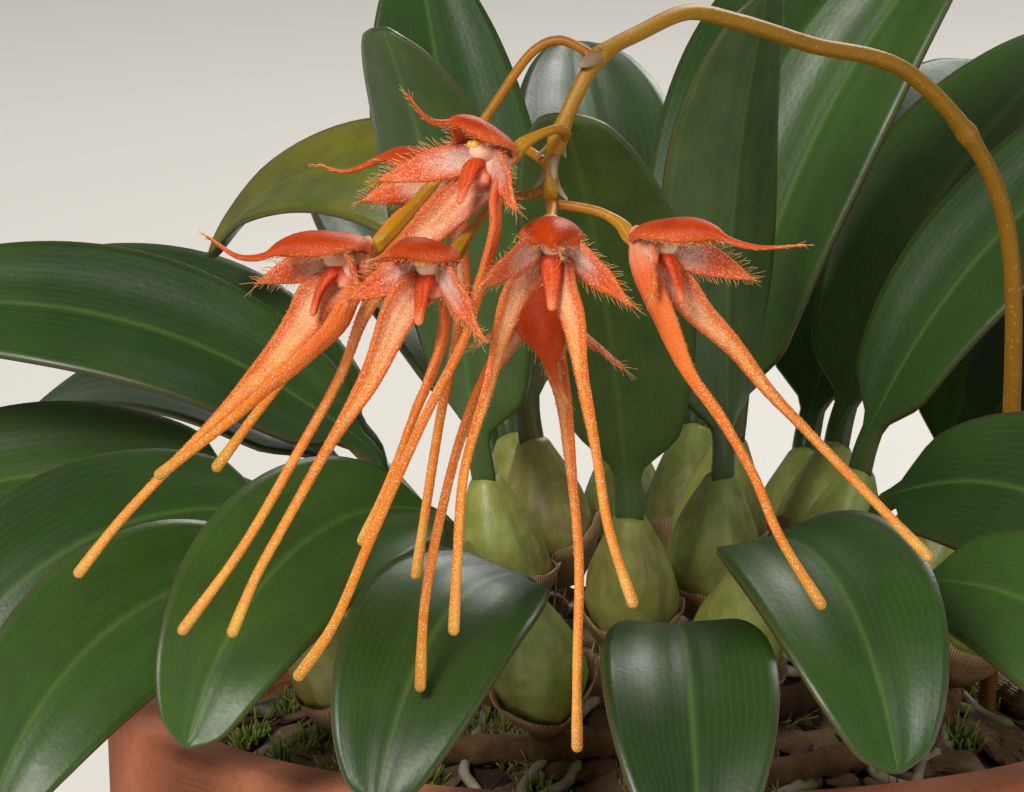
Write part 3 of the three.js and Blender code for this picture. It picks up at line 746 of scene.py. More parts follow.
def mound_at(distance):
    return EDGE_HEIGHT + MOUND_RISE * (1 - (np.asarray(distance) / EDGE_REACH) ** 2)


def rough_at(x, y, size, seed):
    return noise.noise(Vector((x / size, y / size, seed)))


ring_count, around = 34, 96
turn = np.arange(around) * 2 * math.pi / around
radii = np.concatenate([
    [inner_radius(POT_FLOOR + 0.3) - 0.4], EDGE_REACH * (1 - np.arange(ring_count) / ring_count),
])
rings = np.zeros((len(radii), around, 3))
rings[..., 0] = radii[:, None] * np.cos(turn)
rings[..., 1] = radii[:, None] * np.sin(turn)
rings[0, :, 2] = POT_FLOOR + 0.3
for i in range(1, len(radii)):
    for j in range(around):
        x, y = rings[i, j, :2]
        lumps = 0.55 * rough_at(x, y, 2.6, 1.0) + 0.35 * rough_at(x, y, 1.1, 7.0)
        rings[i, j, 2] = mound_at(radii[i]) - 0.35 + lumps * (0.3 if i == 1 else 1)
make_piece("bark_mound", [(skin(rings, 0.0, 0.0), crumb)], ["growing_medium"])


def chip(rng, place_at, size, thick, lean):
    """One split chip of bark: the hull of scattered points in a slab, turned and tipped."""
    spots = rng.uniform(-1, 1, (13, 3))
    spots[:, :2] /= np.maximum(np.linalg.norm(spots[:, :2], axis=1, keepdims=True), 0.75)
    spots *= (size, size * rng.uniform(0.5, 0.8), thick / 2)
    spots[:, 2] += 0.12 * spots[:, 0] * rng.uniform(-1, 1)
    hull = bmesh.new()
    for spot in spots:
        hull.verts.new(spot)
    made = bmesh.ops.convex_hull(hull, input=hull.verts)
    inner = [v for v in made["geom_interior"] if isinstance(v, bmesh.types.BMVert)]
    bmesh.ops.delete(hull, geom=inner, context="VERTS")
    bmesh.ops.bevel(hull, geom=hull.edges[:], offset=0.12 * thick, segments=1, affect="EDGES")
    hull.verts.index_update()
    points = np.array([v.co for v in hull.verts])
    faces = [[v.index for v in face.verts] for face in hull.faces]
    hull.free()
    swing = rng.uniform(0, 2 * math.pi)
    cos, sin = math.cos(swing), math.sin(swing)
    points = points @ np.array([[cos, sin, 0], [-sin, cos, 0], [0, 0, 1]])
    points[:, 2] += lean[0] * points[:, 0] + lean[1] * points[:, 1]
    return points + place_at, faces


CHIP_COUNT, CHIP_REACH, GOLDEN_ANGLE = 430, 25.0, 2.39996
rng = np.random.default_rng(7)
chip_points, chip_faces, start = [], [], 0
for k in range(CHIP_COUNT):
    distance = CHIP_REACH * math.sqrt((k + 0.5) / CHIP_COUNT) + rng.uniform(-0.6, 0.6)
    angle = k * GOLDEN_ANGLE + rng.uniform(-0.2, 0.2)
    size = rng.uniform(1.3, 3.0) if distance < 22.5 else rng.uniform(1.0, 1.7)
    thick = rng.uniform(0.8, 1.5)
    slope = -2 * MOUND_RISE * distance / EDGE_REACH**2
    lean = (slope * math.cos(angle) + rng.normal(0, 0.16), slope * math.sin(angle) + rng.normal(0, 0.16))
    level = mound_at(distance) - 0.1 + rng.uniform(-0.35, 0.3)
    at = (distance * math.cos(angle), distance * math.sin(angle), level)
    points, faces = chip(rng, at, size, thick, lean)
    chip_points.append(points)
    chip_faces += [[index + start for index in face] for face in faces]
    start += len(points)
chip_points = np.vstack(chip_points)


def loose_part(points, faces):
    """A skin made of any faces, for things that are not rings."""
    return {"points": points, "quads": np.zeros((0, 4), int), "fans": np.zeros((0, 3), int),
            "loose": faces, "marks": np.zeros((len(points), 3))}


chips = loose_part(chip_points, chip_faces)
make_piece("bark_chips", [(chips, bark)], ["growing_medium"], flat=(bark,))
print("bark chips' highest point in mm:", round(chip_points[:, 2].max(), 1))

# %% [markdown]
# ## Cushions of moss
#
# Where the bark stays damp, small cushions of moss settle. One cushion is a low dome of fine upright
# blades. The same hair function makes them, thicker and shorter than on the flowers.

# %% Moss
def moss_material():
    material, tree, shader = finish("moss", Roughness=0.7, Subsurface_Weight=0.15,
                                    Subsurface_Radius=(0.4, 0.6, 0.15), Subsurface_Scale=MM)
    height = ramp(tree, mark(tree, "along"), [(0, "#2c3a12"), (0.6, "#5f7d24"), (1, "#a4b34b")])
    patch = mottle(tree, height, "#7c6b2c", 300.0, 0.5)
    relief = roughen(tree, 2500.0, 0.6)
    drive(tree, shader, Base_Color=patch["Color"], Normal=bump(tree, relief["Height"], 0.4, 0.1))
    return material


moss = moss_material()
CUSHION_COUNT, CUSHION_REACH, MOSS_LIMIT = 46, 24.6, 25.6
rng = np.random.default_rng(21)
roots, leans, lengths = [], [], []
for _ in range(CUSHION_COUNT):
    distance, angle = CUSHION_REACH * math.sqrt(rng.uniform(0.05, 1)), rng.uniform(0, 2 * math.pi)
    reach = rng.uniform(1.0, 2.3)
    for _ in range(int(46 * reach)):
        r, a = reach * math.sqrt(rng.uniform()), rng.uniform(0, 2 * math.pi)
        x = distance * math.cos(angle) + r * math.cos(a)
        y = distance * math.sin(angle) + r * math.sin(a)
        if math.hypot(x, y) > MOSS_LIMIT:
            continue
        roots.append((x, y, mound_at(math.hypot(x, y)) - 0.1))
        leans.append((0.5 * math.cos(a) * r / reach + rng.normal(0, 0.2),
                      0.5 * math.sin(a) * r / reach + rng.normal(0, 0.2), 1))
        lengths.append(rng.uniform(0.9, 1.5) * (1.15 - 0.6 * (r / reach) ** 2))
roots, leans, lengths = np.array(roots), np.array(leans), np.array(lengths)
tufts = hairs(roots, leans, rng.normal(0, 0.25, (len(roots), 3)), lengths, 0.17, steps=2)
make_piece("moss_cushions", [(tufts, moss)], ["growing_medium"])
print("blades of moss:", len(roots))

# %% [markdown]
# ## Rhizomes and roots
#
# The creeping stem is as thick as a match, jointed, and wrapped in dry brown scales that overlap at
# each joint. Under it, thin roots run over the bark; they are silvery with dry velamen, the spongy
# coat that drinks, and end in a green growing tip. Both are tubes. Their joints and scales come from
# a relief that is added to the radius.

# %% Scaly rhizome and silvery root
def scale_material():
    material, tree, shader = finish("dry_scales", Roughness=0.75)
    base = mottle(tree, "#6b4a2b", "#a98552", 330.0, 0.8)
    fibre = veined(tree, 14.0, 3.0, 0.3)
    colour = blend(tree, times(tree, fibre, 0.5), base["Color"], "#3a2514")
    relief = roughen(tree, 1800.0, 0.7)
    both = math_node(tree, "ADD", relief["Height"], times(tree, fibre, -0.6))
    drive(tree, shader, Base_Color=colour, Normal=bump(tree, both, 0.7, 0.15))
    return material


def root_material():
    material, tree, shader = finish("silvery_root", Roughness=0.65)
    along = ramp(tree, mark(tree, "along"), [
        (0, "#a79f8c"), (0.85, "#b9b29e"), (0.93, "#9aa86a"), (1, "#6f8f3a"),
    ])
    patch = mottle(tree, along, "#7c6f58", 500.0, 0.6)
    relief = roughen(tree, 3000.0, 0.6)
    drive(tree, shader, Base_Color=patch["Color"], Normal=bump(tree, relief["Height"], 0.5, 0.1))
    return material


scales, velamen = scale_material(), root_material()
print("rhizome and root finishes are ready")

# %% Lay the rhizomes and roots
SPIRAL_TURN, SPIRAL_OFFSET, SPIRAL_SPACING, SPIRAL_START = 137.508, 22.0, 4.3, 0.8
STRANDS, SHOOTS_EACH = 5, 6


def shoot_place(index):
    return SPIRAL_SPACING * math.sqrt(index + SPIRAL_START), math.radians(SPIRAL_OFFSET + SPIRAL_TURN * index)


def rhizome_path(strand):
    path = []
    for j in range(SHOOTS_EACH):
        distance, angle = shoot_place(strand + STRANDS * j)
        path.append((distance * math.cos(angle), distance * math.sin(angle), mound_at(distance) + 1.0))
    return path


def joints(count, depth):
    """Relief of overlapping scales: each swells towards its free edge and steps back down."""
    def relief(share, angle):
        run = (share * count) % 1.0
        return depth * run**2 * (1 + 0.3 * np.cos(angle * 2 + np.floor(share * count) * 2.4))
    return relief


for strand in range(STRANDS):
    shares = np.linspace(0, 1, 190)
    body = tube(rhizome_path(strand), shares, 14, 0.82 * rounded(1 - shares, 0.01) * rounded(shares, 0.01),
                relief=joints(26, 0.22))
    make_piece(f"rhizome_{strand + 1}_stem", [(body, scales)], [f"rhizome_{strand + 1}"])

ROOT_COUNT, ROOT_LIMIT = 34, 24.8
rng = np.random.default_rng(33)
root_parts = []
for k in range(ROOT_COUNT):
    distance, angle = shoot_place(k % (STRANDS * SHOOTS_EACH))
    heading = angle + rng.uniform(-1.6, 1.6)
    path, x, y = [], distance * math.cos(angle), distance * math.sin(angle)
    for step in range(7):
        reach = math.hypot(x, y)
        path.append((x, y, mound_at(reach) + (0.25 if step % 2 else 0.55)))
        heading += rng.uniform(-0.6, 0.6)
        stride = rng.uniform(1.3, 2.2)
        if math.hypot(x + stride * math.cos(heading), y + stride * math.sin(heading)) > ROOT_LIMIT:
            heading += 2.2
        x, y = x + stride * math.cos(heading), y + stride * math.sin(heading)
    shares = stations(40, 1.0, 0.04, 4)
    root_parts.append((tube(path, shares, 8, 0.33 * rounded(shares, 0.05)), velamen))
make_piece("creeping_roots", root_parts, ["growing_medium"])
print("roots:", len(root_parts))

# %% [markdown]
# ## Pseudobulbs
#
# Each shoot stores water in an egg-shaped pseudobulb, blunt-ridged like a fig as it dries and fills.
# Dry papery sheaths stay round its foot in torn rags. The bulb is a tube whose radius follows an egg,
# with a relief of three broad ridges and finer wrinkles. The sheath is a skin that goes up outside
# and comes down inside, with a ragged top.

# %% Pseudobulb and paper sheath
def bulb_material():
    material, tree, shader = finish("pseudobulb", Roughness=0.42, Subsurface_Weight=0.12,
                                    Subsurface_Radius=(0.5, 0.8, 0.2), Subsurface_Scale=MM)
    tone = mark(tree, "tone")
    young, old = "#6f8a35", "#8f8a3c"
    colour = blend(tree, tone, young, old)
    foot = band(tree, mark(tree, "along"), 0.35, 0.0, "LINEAR")
    colour = blend(tree, foot, colour, "#7a5a2c")
    flush = mottle(tree, colour, "#6a4232", 210.0, 0.4)
    spots = mottle(tree, flush["Color"], "#b7b46a", 900.0, 0.35)
    relief = roughen(tree, 1600.0, 0.6, 0.3)
    drive(tree, shader, Base_Color=spots["Color"], Normal=bump(tree, relief["Height"], 0.45, 0.18))
    return material


def paper_material():
    material, tree, shader = finish("papery_sheath", Roughness=0.7, Subsurface_Weight=0.2,
                                    Subsurface_Radius=(0.5, 0.4, 0.3), Subsurface_Scale=MM)
    base = mottle(tree, "#b79a72", "#7d5a38", 380.0, 0.8)
    fibre = veined(tree, 18.0, 4.0, 0.4)
    colour = blend(tree, times(tree, fibre, 0.55), base["Color"], "#5b3d22")
    drive(tree, shader, Base_Color=colour, Normal=bump(tree, fibre, 0.6, 0.12))
    return material


egg_skin, paper = bulb_material(), paper_material()
BULB_HEIGHT = 9.2


def bulb_radius(share):
    share = np.clip(share, 0, 1)
    return mix(1.3, 0.8, share) + 1.75 * np.sin(math.pi * share**0.75) ** 1.1


def bulb_ridges(angle):
    return 0.93 + 0.07 * np.cos(3 * angle)


def bulb(base, axis, seed):
    shares = stations(40, 1.0, 0.06, 5)
    close = rounded(shares, 0.065)[:, None]

    def relief(share, angle):
        wrinkle = 0.05 * np.cos(9 * angle + 3 * np.sin(5 * share + seed)) + 0.03 * np.cos(17 * angle + seed)
        shape = bulb_ridges(angle) + wrinkle * np.sin(math.pi * share) * 0.45
        return bulb_radius(share) * (shape * close - 1)
    path = [base, base + axis * BULB_HEIGHT / 2, base + axis * BULB_HEIGHT]
    return tube(path, shares, 42, bulb_radius(shares), hint=(1, 0, 0), relief=relief)


def paper_sheath(base, axis, seed):
    """A torn sleeve round the bulb's foot: up outside, over its ragged edge and down inside."""
    rng = np.random.default_rng(500 + seed)
    sides = 48
    turn = np.arange(sides) * 2 * math.pi / sides
    waves = (1, 2, 3, 5, 9, 13)
    ragged = sum(rng.uniform(0.3, 1) / k * np.cos(k * turn + rng.uniform(0, 6.3)) for k in waves)
    top = np.clip(0.30 + 0.10 * ragged, 0.12, 0.55)
    up = np.array([1.0, 0, 0])
    up = unit(up - axis * up.dot(axis))
    across = np.cross(up, axis)
    rings, levels = [], [(0, 1), (0.35, 1), (0.7, 1), (1, 1), (1, 0), (0.7, 0), (0.35, 0), (0, 0)]
    for level, outside in levels:
        share = level * top
        flare = 0.35 * level**3 * (1 + 0.8 * np.cos(2 * turn + seed))
        radius = bulb_radius(share) * bulb_ridges(turn) + 0.10 + 0.12 * outside + flare
        spot = base + axis * (0.1 + BULB_HEIGHT * share)[:, None]
        aside, above = (radius * np.cos(turn))[:, None], (radius * np.sin(turn))[:, None]
        rings.append(spot + across * aside + up * above)
    shares = np.array([level for level, _ in levels])[:, None]
    return skin(np.array(rings), shares, np.sin(turn / 2)[None] * 2 - 1, looped=True)


print("bulb's widest radius in mm:", round(float(bulb_radius(np.linspace(0, 1, 50)).max()), 2))

# %% [markdown]
# ## Leaves
#
# One thick leaf rises from the top of each pseudobulb: a short channelled neck, then a blade with a
# blunt tip, a sunken midrib above and a keel below. It is leathery, so it catches soft broad lights.
# Each leaf follows the same turning path as its solid, with more stations, and its relief adds the
# midrib, shallow waves and a thin edge. Old and young leaves differ in tone.

# %% Leathery leaf
def leaf_material():
    material, tree, shader = finish("leathery_leaf", Subsurface_Weight=0.06, Specular_IOR_Level=0.4,
                                    Subsurface_Radius=(0.3, 0.6, 0.1), Subsurface_Scale=MM)
    face, across, tone = mark(tree, "face"), mark(tree, "across"), mark(tree, "tone")
    green = ramp(tree, tone, [
        (0.0, "#182f0b"), (0.45, "#24400f"), (0.75, "#355115"), (1.0, "#6d6a12"),
    ])
    upper = math_node(tree, "GREATER_THAN", face, 0.0)
    colour = blend(tree, upper, blend(tree, 0.4, green, "#5f7440"), green)
    cloud = mottle(tree, colour, "#3d5a1d", 95.0, 0.45)
    dark = mottle(tree, cloud["Color"], "#13240a", 380.0, 0.3)
    lines = veined(tree, 11.0, 9.0, 0.10)
    colour = blend(tree, times(tree, lines, 0.05), dark["Color"], "#6d8440")
    middle = math_node(tree, "ABSOLUTE", across)
    rib = band(tree, middle, 0.07, 0.0, "LINEAR")
    colour = blend(tree, times(tree, rib, 0.25), colour, "#6f8a40")
    edge = band(tree, middle, 0.95, 1.0, "LINEAR")
    colour = blend(tree, times(tree, edge, 0.5), colour, "#4a3a1c")
    pores = roughen(tree, 3200.0, 0.5)
    relief = math_node(tree, "ADD", times(tree, lines, 0.05), pores["Height"])
    rough = math_node(tree, "ADD", 0.36, times(tree, dark["Mask"], 0.25))
    drive(tree, shader, Base_Color=colour, Roughness=rough, Normal=bump(tree, relief, 0.25, 0.06))
    return material


leather = leaf_material()
print("leaf nodes:", len(leather.node_tree.nodes))

# %% Grow the shoots
# Three leaves of the photograph's background are posed one by one, as their solids are.
LEAF_LENGTH, LEAF_WIDTH, LEAF_NECK, LEAF_THICK, LEAF_FOLD = 31.0, 10.0, 2.2, 0.72, 0.34
TO_LIGHT = np.array([0, -1, 0.35])
POSED = {
    1: {"heading": 148, "rise": 98, "drop": -60, "length": 33},
    4: {"heading": 245, "rise": 80, "drop": 50, "length": 30},
    6: {"heading": 112, "rise": 56, "drop": 64, "length": 30},
}


def leaf_habit(index):
    """Heading, rise at the neck and drop at the tip. The same rules that shaped the solids."""
    distance, angle = shoot_place(index)
    outer = distance / 24
    posed = POSED.get(index)
    heading = math.radians(posed["heading"]) if posed else angle + math.radians(8) * jitter(index, 1)
    front = max(0.0, -math.sin(heading))
    tall = math.cos(heading - math.radians(45))
    hangs = front > 0.35 and outer > 0.55
    rise = 46 - 30 * outer if hangs else mix(84, 24 + 34 * tall, outer) + 34 * front
    drop = -58 - 12 * outer if hangs else rise - mix(34, 56, outer) + 18 * front + 8 * jitter(index, 3)
    length = LEAF_LENGTH + 3 * jitter(index, 4) - (4 if hangs else 0)
    return {
        "rise": rise + 4 * jitter(index, 2), "drop": drop, "length": length, **(posed or {}),
        "heading": heading, "twist": abs(math.cos(heading)), "width": LEAF_WIDTH + 0.8 * jitter(index, 5),
        "tilt": math.radians(mix(6, 24, outer) + (6 if hangs else 0)),
    }


def leaf(crown, axis, habit, seed):
    forward = np.array([math.cos(habit["heading"]), math.sin(habit["heading"]), 0])
    path = [crown - 0.8 * axis, crown + 0.9 * axis]
    for k in range(6):
        tilt = math.radians(mix(habit["rise"], habit["drop"], (k + 0.5) / 6))
        step = forward * math.cos(tilt) + np.array([0, 0, math.sin(tilt)])
        path.append(path[-1] + step * habit["length"] / 6)
    shares = stations(46, 1.0, 0.05, 7)
    neck = LEAF_NECK / habit["length"]
    t = np.clip((shares - neck) / (1 - neck), 0, 1)
    oval = np.sin(math.pi * np.clip(0.03 + 0.955 * t, 0, 1)) ** 0.52
    width = np.maximum(0.72, habit["width"] / 2 * oval * smoothstep(t, -0.02, 0.12))
    width = width * rounded(shares, 0.045)
    rng = np.random.default_rng(900 + seed)
    wave, sway = rng.uniform(0, 6.3), rng.uniform(0.12, 0.3)

    def relief(share, v, side):
        blade_share = smoothstep(share, neck, 0.25) * (1 - 0.7 * smoothstep(share, 0.8, 1))
        rib = np.exp(-((v / 0.10) ** 2)) * blade_share
        hump = 0.05 * np.cos(3 * math.pi * v) * blade_share
        return (-0.16 * rib if side > 0 else 0.20 * rib) + hump * side

    def lift(share, v):
        return sway * v**2 * np.sin(9 * share + wave) * smoothstep(share, 0.1, 0.4)

    hint = -forward + TO_LIGHT * habit["twist"]
    thick = mix(1.25, mix(LEAF_THICK, 0.55, shares), smoothstep(shares, 0.02, 0.12))
    fold = mix(0.6, LEAF_FOLD, smoothstep(shares, 0.03, 0.15))
    return blade(path, hint, shares, 18, width, thick * rounded(shares, 0.02), fold, relief=relief, lift=lift)


for index in range(STRANDS * SHOOTS_EACH):
    distance, angle = shoot_place(index)
    habit = leaf_habit(index)
    outward = np.array([math.cos(angle), math.sin(angle), 0])
    base = outward * distance + np.array([0, 0, mound_at(distance) + 2.35])
    axis = outward * math.sin(habit["tilt"]) + np.array([0, 0, math.cos(habit["tilt"])])
    crown = base + axis * BULB_HEIGHT
    age = {1: 1.0, 2: 0.2}.get(index, 0.4 + 0.35 * jitter(index, 9))
    make_piece(
        f"shoot_{index + 1:02d}_growth",
        [(bulb(base, axis, index), egg_skin), (leaf(crown, axis, habit, index), leather),
         (paper_sheath(base, axis, index), paper)],
        [f"shoot_{index + 1:02d}"], tone=age,
    )
print("shoots grown:", STRANDS * SHOOTS_EACH)

# %% [markdown]
# ## The flowering stalk
#
# The stalk, or scape, climbs between the leaves, bends over and ends in an umbel. From there each
# flower has its own short stalk, which widens into a ribbed ovary just behind the flower. Small papery
# bracts sit at each joint. All of them are tubes along curves, with the joints as gentle swellings.

# %% Stalk, ovary and bract finishes
def stalk_material():
    material, tree, shader = finish("golden_stalk", Roughness=0.46, Subsurface_Weight=0.2,
                                    Specular_IOR_Level=0.3, Subsurface_Radius=(1.0, 0.5, 0.15),
                                    Subsurface_Scale=0.6 * MM)
    along, tone = mark(tree, "along"), mark(tree, "tone")
    low = blend(tree, tone, "#5a4406", "#9c5c04")
    high = blend(tree, tone, "#8a6404", "#c99400")
    colour = blend(tree, along, low, high)
    flush = mottle(tree, colour, "#7a420c", 240.0, 0.35)
    # Painted highlight: pale gold glints on the tops of a few tiny cells.
    dots = glints(tree, 5200.0, 0.16)
    colour = blend(tree, times(tree, dots["Painted glints"], 0.2), flush["Color"], "#e9c373")
    drive(tree, shader, Base_Color=colour, Normal=bump(tree, dots["Height"], 0.35, 0.03))
    return material


def bract_material():
    material, tree, shader = finish("thin_bract", Roughness=0.5, Subsurface_Weight=0.4,
                                    Subsurface_Radius=(0.8, 0.6, 0.5), Subsurface_Scale=MM)
    along = ramp(tree, mark(tree, "along"), [(0, "#7a5428"), (0.5, "#8f7a5c"), (1, "#a39a88")])
    lines = veined(tree, 7.0, 5.0, 0.2)
    colour = blend(tree, times(tree, lines, 0.5), along, "#7a5230")
    fleck = mottle(tree, colour, "#6d4526", 700.0, 0.4)
    drive(tree, shader, Base_Color=fleck["Color"], Normal=bump(tree, lines, 0.5, 0.06))
    return material


golden, thin_bract = stalk_material(), bract_material()
print("stalk nodes:", len(golden.node_tree.nodes))

# %% Where the flowers hang
# Each flower's place in the umbel's frame, the way it faces, and where its parts reach.
# Item 0 of a pair is on the flower's own right. Broad is the greatest half width of each side sepal in
# millimetres, and turned is how far it turns in towards its twin, in degrees. Shoulder and hood stretch
# the length over which the sepals stay broad, and the length of the hood.
FLOWERS = [
    {
        "at": (-2.9, -3.6, -0.3), "facing": (-0.7, -0.66, 0.2),
        "broad": (1.2, 0.9), "turned": (50, 50), "shoulder": 1.05, "hood": 0.77,
        "tail": [(-6.6, -7.2, 1.5), (-7.9, -8.6, 2.9)],
        "petals": [(-10.3, -3.9, -2.0), (-1.7, -7.2, -4.0)],
        "sepals": [
            [(-5, -3.4, -2.8), (-6.5, -2.6, -4.2), (-8.4, -1.5, -6.3), (-10.2, -0.6, -9),
             (-11.5, 0.2, -12.3), (-14, 1.2, -16.8), (-17, 2.4, -21.9), (-20.5, 3.6, -26.7)],
            [(-2.9, -4.9, -2.8), (-2.9, -5, -4.2), (-3.4, -5.2, -6.3), (-4, -5.5, -8.2), (-4.6, -6.1, -10.2),
             (-6.9, -6.8, -14.8), (-9.8, -6.4, -21.3), (-11.9, -6, -26.1), (-13.9, -5.6, -29)],
        ],
        "stalk": [(0.05, 0, 0.2), (0.9, -0.5, 0.9), (0.2, -1.5, 1.1), (-1.5, -2.6, 0.3)],
    },
    {
        "at": (-10.6, -1, -5.6), "facing": (-0.93, -0.3, -0.15),
        "broad": (1.15, 0.75), "turned": (55, 55), "shoulder": 1.1, "hood": 1.0,
        "tail": [(-17, -2.9, -5.9), (-18.9, -3.4, -4.7)],
        "petals": [(-16.9, 0.6, -7.5), (-10.4, -4.4, -7.9)],
        "sepals": [
            [(-12.8, -0.5, -8.1), (-13.4, -0.3, -9.2), (-15, 0, -11.3), (-17.6, 0.6, -14),
             (-21.7, 1.2, -18.2), (-23.9, 1.6, -20.6), (-26.2, 2, -23.5)],
            [(-10.9, -2.2, -8.2), (-11.6, -2.5, -9.6), (-13, -2.6, -11), (-15.5, -2.4, -13.1),
             (-18, -1.9, -15.2), (-21.7, -1, -18)],
        ],
        "stalk": [(2.6, 0.8, 5.1), (0.6, 1.1, 6.1), (-0.8, 1.3, 5.6), (-3.6, 1.6, 1.8), (-6.8, 1.6, -2.2),
                  (-9, 0.4, -4.7)],
    },
    {
        "at": (-6, -4.6, -6.2), "facing": (-0.55, -0.8, -0.1),
        "broad": (1.12, 0.85), "turned": (50, 50), "shoulder": 0.95, "hood": 0.9,
        "tail": [(-9.2, -9.4, -6.1), (-9.7, -11.2, -6.2)],
        "petals": [(-11.8, -6, -8.6), (-3.4, -10.2, -10.9)],
        "sepals": [
            [(-7.7, -5.4, -8), (-8.4, -5.6, -9.1), (-9.8, -5.7, -12.4), (-12.3, -5.3, -16.6),
             (-14.9, -4.7, -21.2), (-16.1, -4.3, -23.4), (-17.5, -3.9, -26.7)],
            [(-5.7, -3.9, -8.3), (-5.7, -3.5, -9.6), (-6.1, -3.8, -11.4), (-7.4, -3.9, -14.5),
             (-8.8, -3.5, -18.2), (-10.4, -3, -21.7)],
        ],
        "stalk": [(-0.1, 0, -2.2), (-3, -1, -3), (-4.6, -2.6, -4.8)],
    },
    {
        "at": (0, -3.5, -4.6), "facing": (0.03, -0.9, -0.43),
        "broad": (1.12, 1.12), "turned": (30, 30), "shoulder": 0.75, "hood": 0.72,
        "tail": [(0.4, -9.6, -5.6), (0.6, -11.6, -6.2)],
        "petals": [(-4.4, -9.3, -8), (5, -6.2, -9.1)],
        "sepals": [
            [(-1.8, -4.6, -7.4), (-2.4, -4.9, -8.8), (-3.4, -5.2, -13), (-4.7, -5, -17.6),
             (-5.1, -4.5, -22.7), (-5.3, -4, -26.6)],
            [(0.8, -4.6, -7.7), (1.3, -4.9, -9.2), (1.7, -5.2, -12.2), (2.5, -5, -16.7), (3.1, -4.6, -20.4),
             (3.6, -4.4, -22.2), (4.6, -4.1, -25.1)],
        ],
        "stalk": [(0.1, 0, -2.8), (0.1, -1.2, -3.2)],
    },
    {
        "at": (5.3, -1.9, -5), "facing": (0.8, -0.55, -0.1),
        "broad": (0.95, 0.95), "turned": (72, 60), "shoulder": 0.85, "hood": 1.0,
        "tail": [(11.2, -5.4, -5.4), (13.9, -6.6, -5.3)],
        "petals": [(5.7, -4.6, -8.6), (11.9, -1.6, -7.4)],
        "sepals": [
            [(5.4, -2.8, -7.7), (6.1, -3.2, -9.2), (7.5, -3.4, -12.2), (9.3, -3.4, -14.7), (11.1, -3, -17.8),
             (12.5, -2.6, -21.1), (15, -2, -25.2)],
            [(7.1, -1.4, -7.5), (8.1, -1.2, -8.8), (10, -0.6, -10.7), (12, 0, -13.2), (14.1, 0.6, -15.4),
             (16.9, 1.4, -18.3), (21.1, 2.4, -22.6)],
        ],
        "stalk": [(0.1, 0.1, -2.9), (2.7, -0.5, -3.4), (3.9, -1, -4.1)],
    },
    {
        "at": (-0.5, 3.2, -8), "facing": (0.15, -0.1, -0.98), "dorsal": (0, -1, 0),
        "broad": (1.0, 1.0), "turned": (35, 35), "shoulder": 0.9, "hood": 0.8,
        "tail": [(0.5, 2.2, -13), (1, 2.4, -14)],
        "petals": [(-4.8, 3.6, -11.1), (4.7, 3.6, -12.5)],
        "sepals": [
            [(-2.5, 6, -10.7), (-3.4, 5.8, -12), (-4.5, 5, -14.5), (-5.6, 4, -18.2), (-6.9, 3.2, -24.8),
             (-7.2, 3.4, -29.9)],
            [(0.3, 6.2, -11), (0.8, 5.4, -13.5), (1.2, 4, -17.8), (1.6, 2.8, -22.5), (1.5, 2.2, -28.4),
             (1.5, 2.8, -33.2)],
        ],
        "stalk": [(0.1, 0.2, -2.5), (0.1, 2.2, -4), (-0.5, 3.1, -6)],
    },
    {
        "at": (-5.2, 5.5, -1.5), "facing": (-0.85, 0.35, 0.1),
        "broad": (1.0, 1.0), "turned": (50, 50), "shoulder": 0.9, "hood": 0.9,
        "tail": [(-11.4, 7.8, -1), (-13, 8.2, -0.6)],
        "petals": [(-7.6, 10, -4.2), (-11.2, 4.2, -2.9)],
        "sepals": [
            [(-4.9, 7, -5), (-4.7, 7.4, -7.4), (-5.2, 7.6, -10.5), (-6, 7.8, -14.2), (-6.8, 8.2, -19.1),
             (-7.5, 8.8, -23.8)],
            [(-7.9, 4.9, -4), (-9.6, 5.1, -5.7), (-11.5, 5.6, -8.3), (-13.8, 6, -11.3), (-16.1, 6.4, -14.2),
             (-18.7, 6.8, -17.7)],
        ],
        "stalk": [(0, 0.2, -0.8), (-1.8, 2.6, 0.2), (-3.4, 4.6, -0.8)],
    },
]


def directions(flower):
    """The flower's own axes, and a function that goes forward, towards the hood and to its right."""
    forward = unit(np.array(flower["facing"], float))
    dorsal = np.array(flower.get("dorsal", (0, 0, 1)), float)
    dorsal = unit(dorsal - forward * dorsal.dot(forward))
    right = np.cross(forward, dorsal)
    origin = np.array(flower["at"], float)

    def reach(ahead, above=0.0, beside=0.0):
        return origin + forward * ahead + dorsal * above + right * beside

    return forward, dorsal, right, reach


print("flowers:", len(FLOWERS))

# %% Scape, stalks and bracts
SCAPE_RISE = [(19.5, -4, 36), (19.8, -4.2, 46), (20.9, -6.7, 61), (20, -10.6, 75), (14.4, -17, 83.4)]
SCAPE_ARCH = [(14.6, 13.6, 6.3), (10.5, 9, 7.4), (7.7, 6, 7.8), (5, 3.2, 6.6), (2.6, 0.8, 5.1), (1.4, 0.3, 3),
              (0.4, 0, 0.6), (0, 0, -0.9), (0.1, 0, -2.9)]
scape_path = np.vstack([to_umbel(SCAPE_RISE), SCAPE_ARCH])
scape_shares = np.linspace(0, 1, 260)
scape_run, _ = follow(scape_path, scape_shares)
joint_at = [0.22, 0.52]
joint_at += [float(scape_shares[np.argmin(np.linalg.norm(scape_run - np.array(p), axis=1))])
             for p in ((2.6, 0.8, 5.1), (0.4, 0, 0.6), (0.1, 0, -2.3))]


def scape_relief(share, angle):
    swell = sum(0.16 * np.exp(-(((share - at) / 0.008) ** 2)) for at in joint_at)
    return swell + 0.02 * np.cos(5 * angle + 9 * share)


scape = tube(scape_path, scape_shares, 20,
             mix(0.52, 0.40, scape_shares**3) * rounded(scape_shares, 0.006), relief=scape_relief)
make_piece("flower_stem_scape", [(scape, golden)], ["flower_stem"], tone=0.25,
           where=from_umbel)


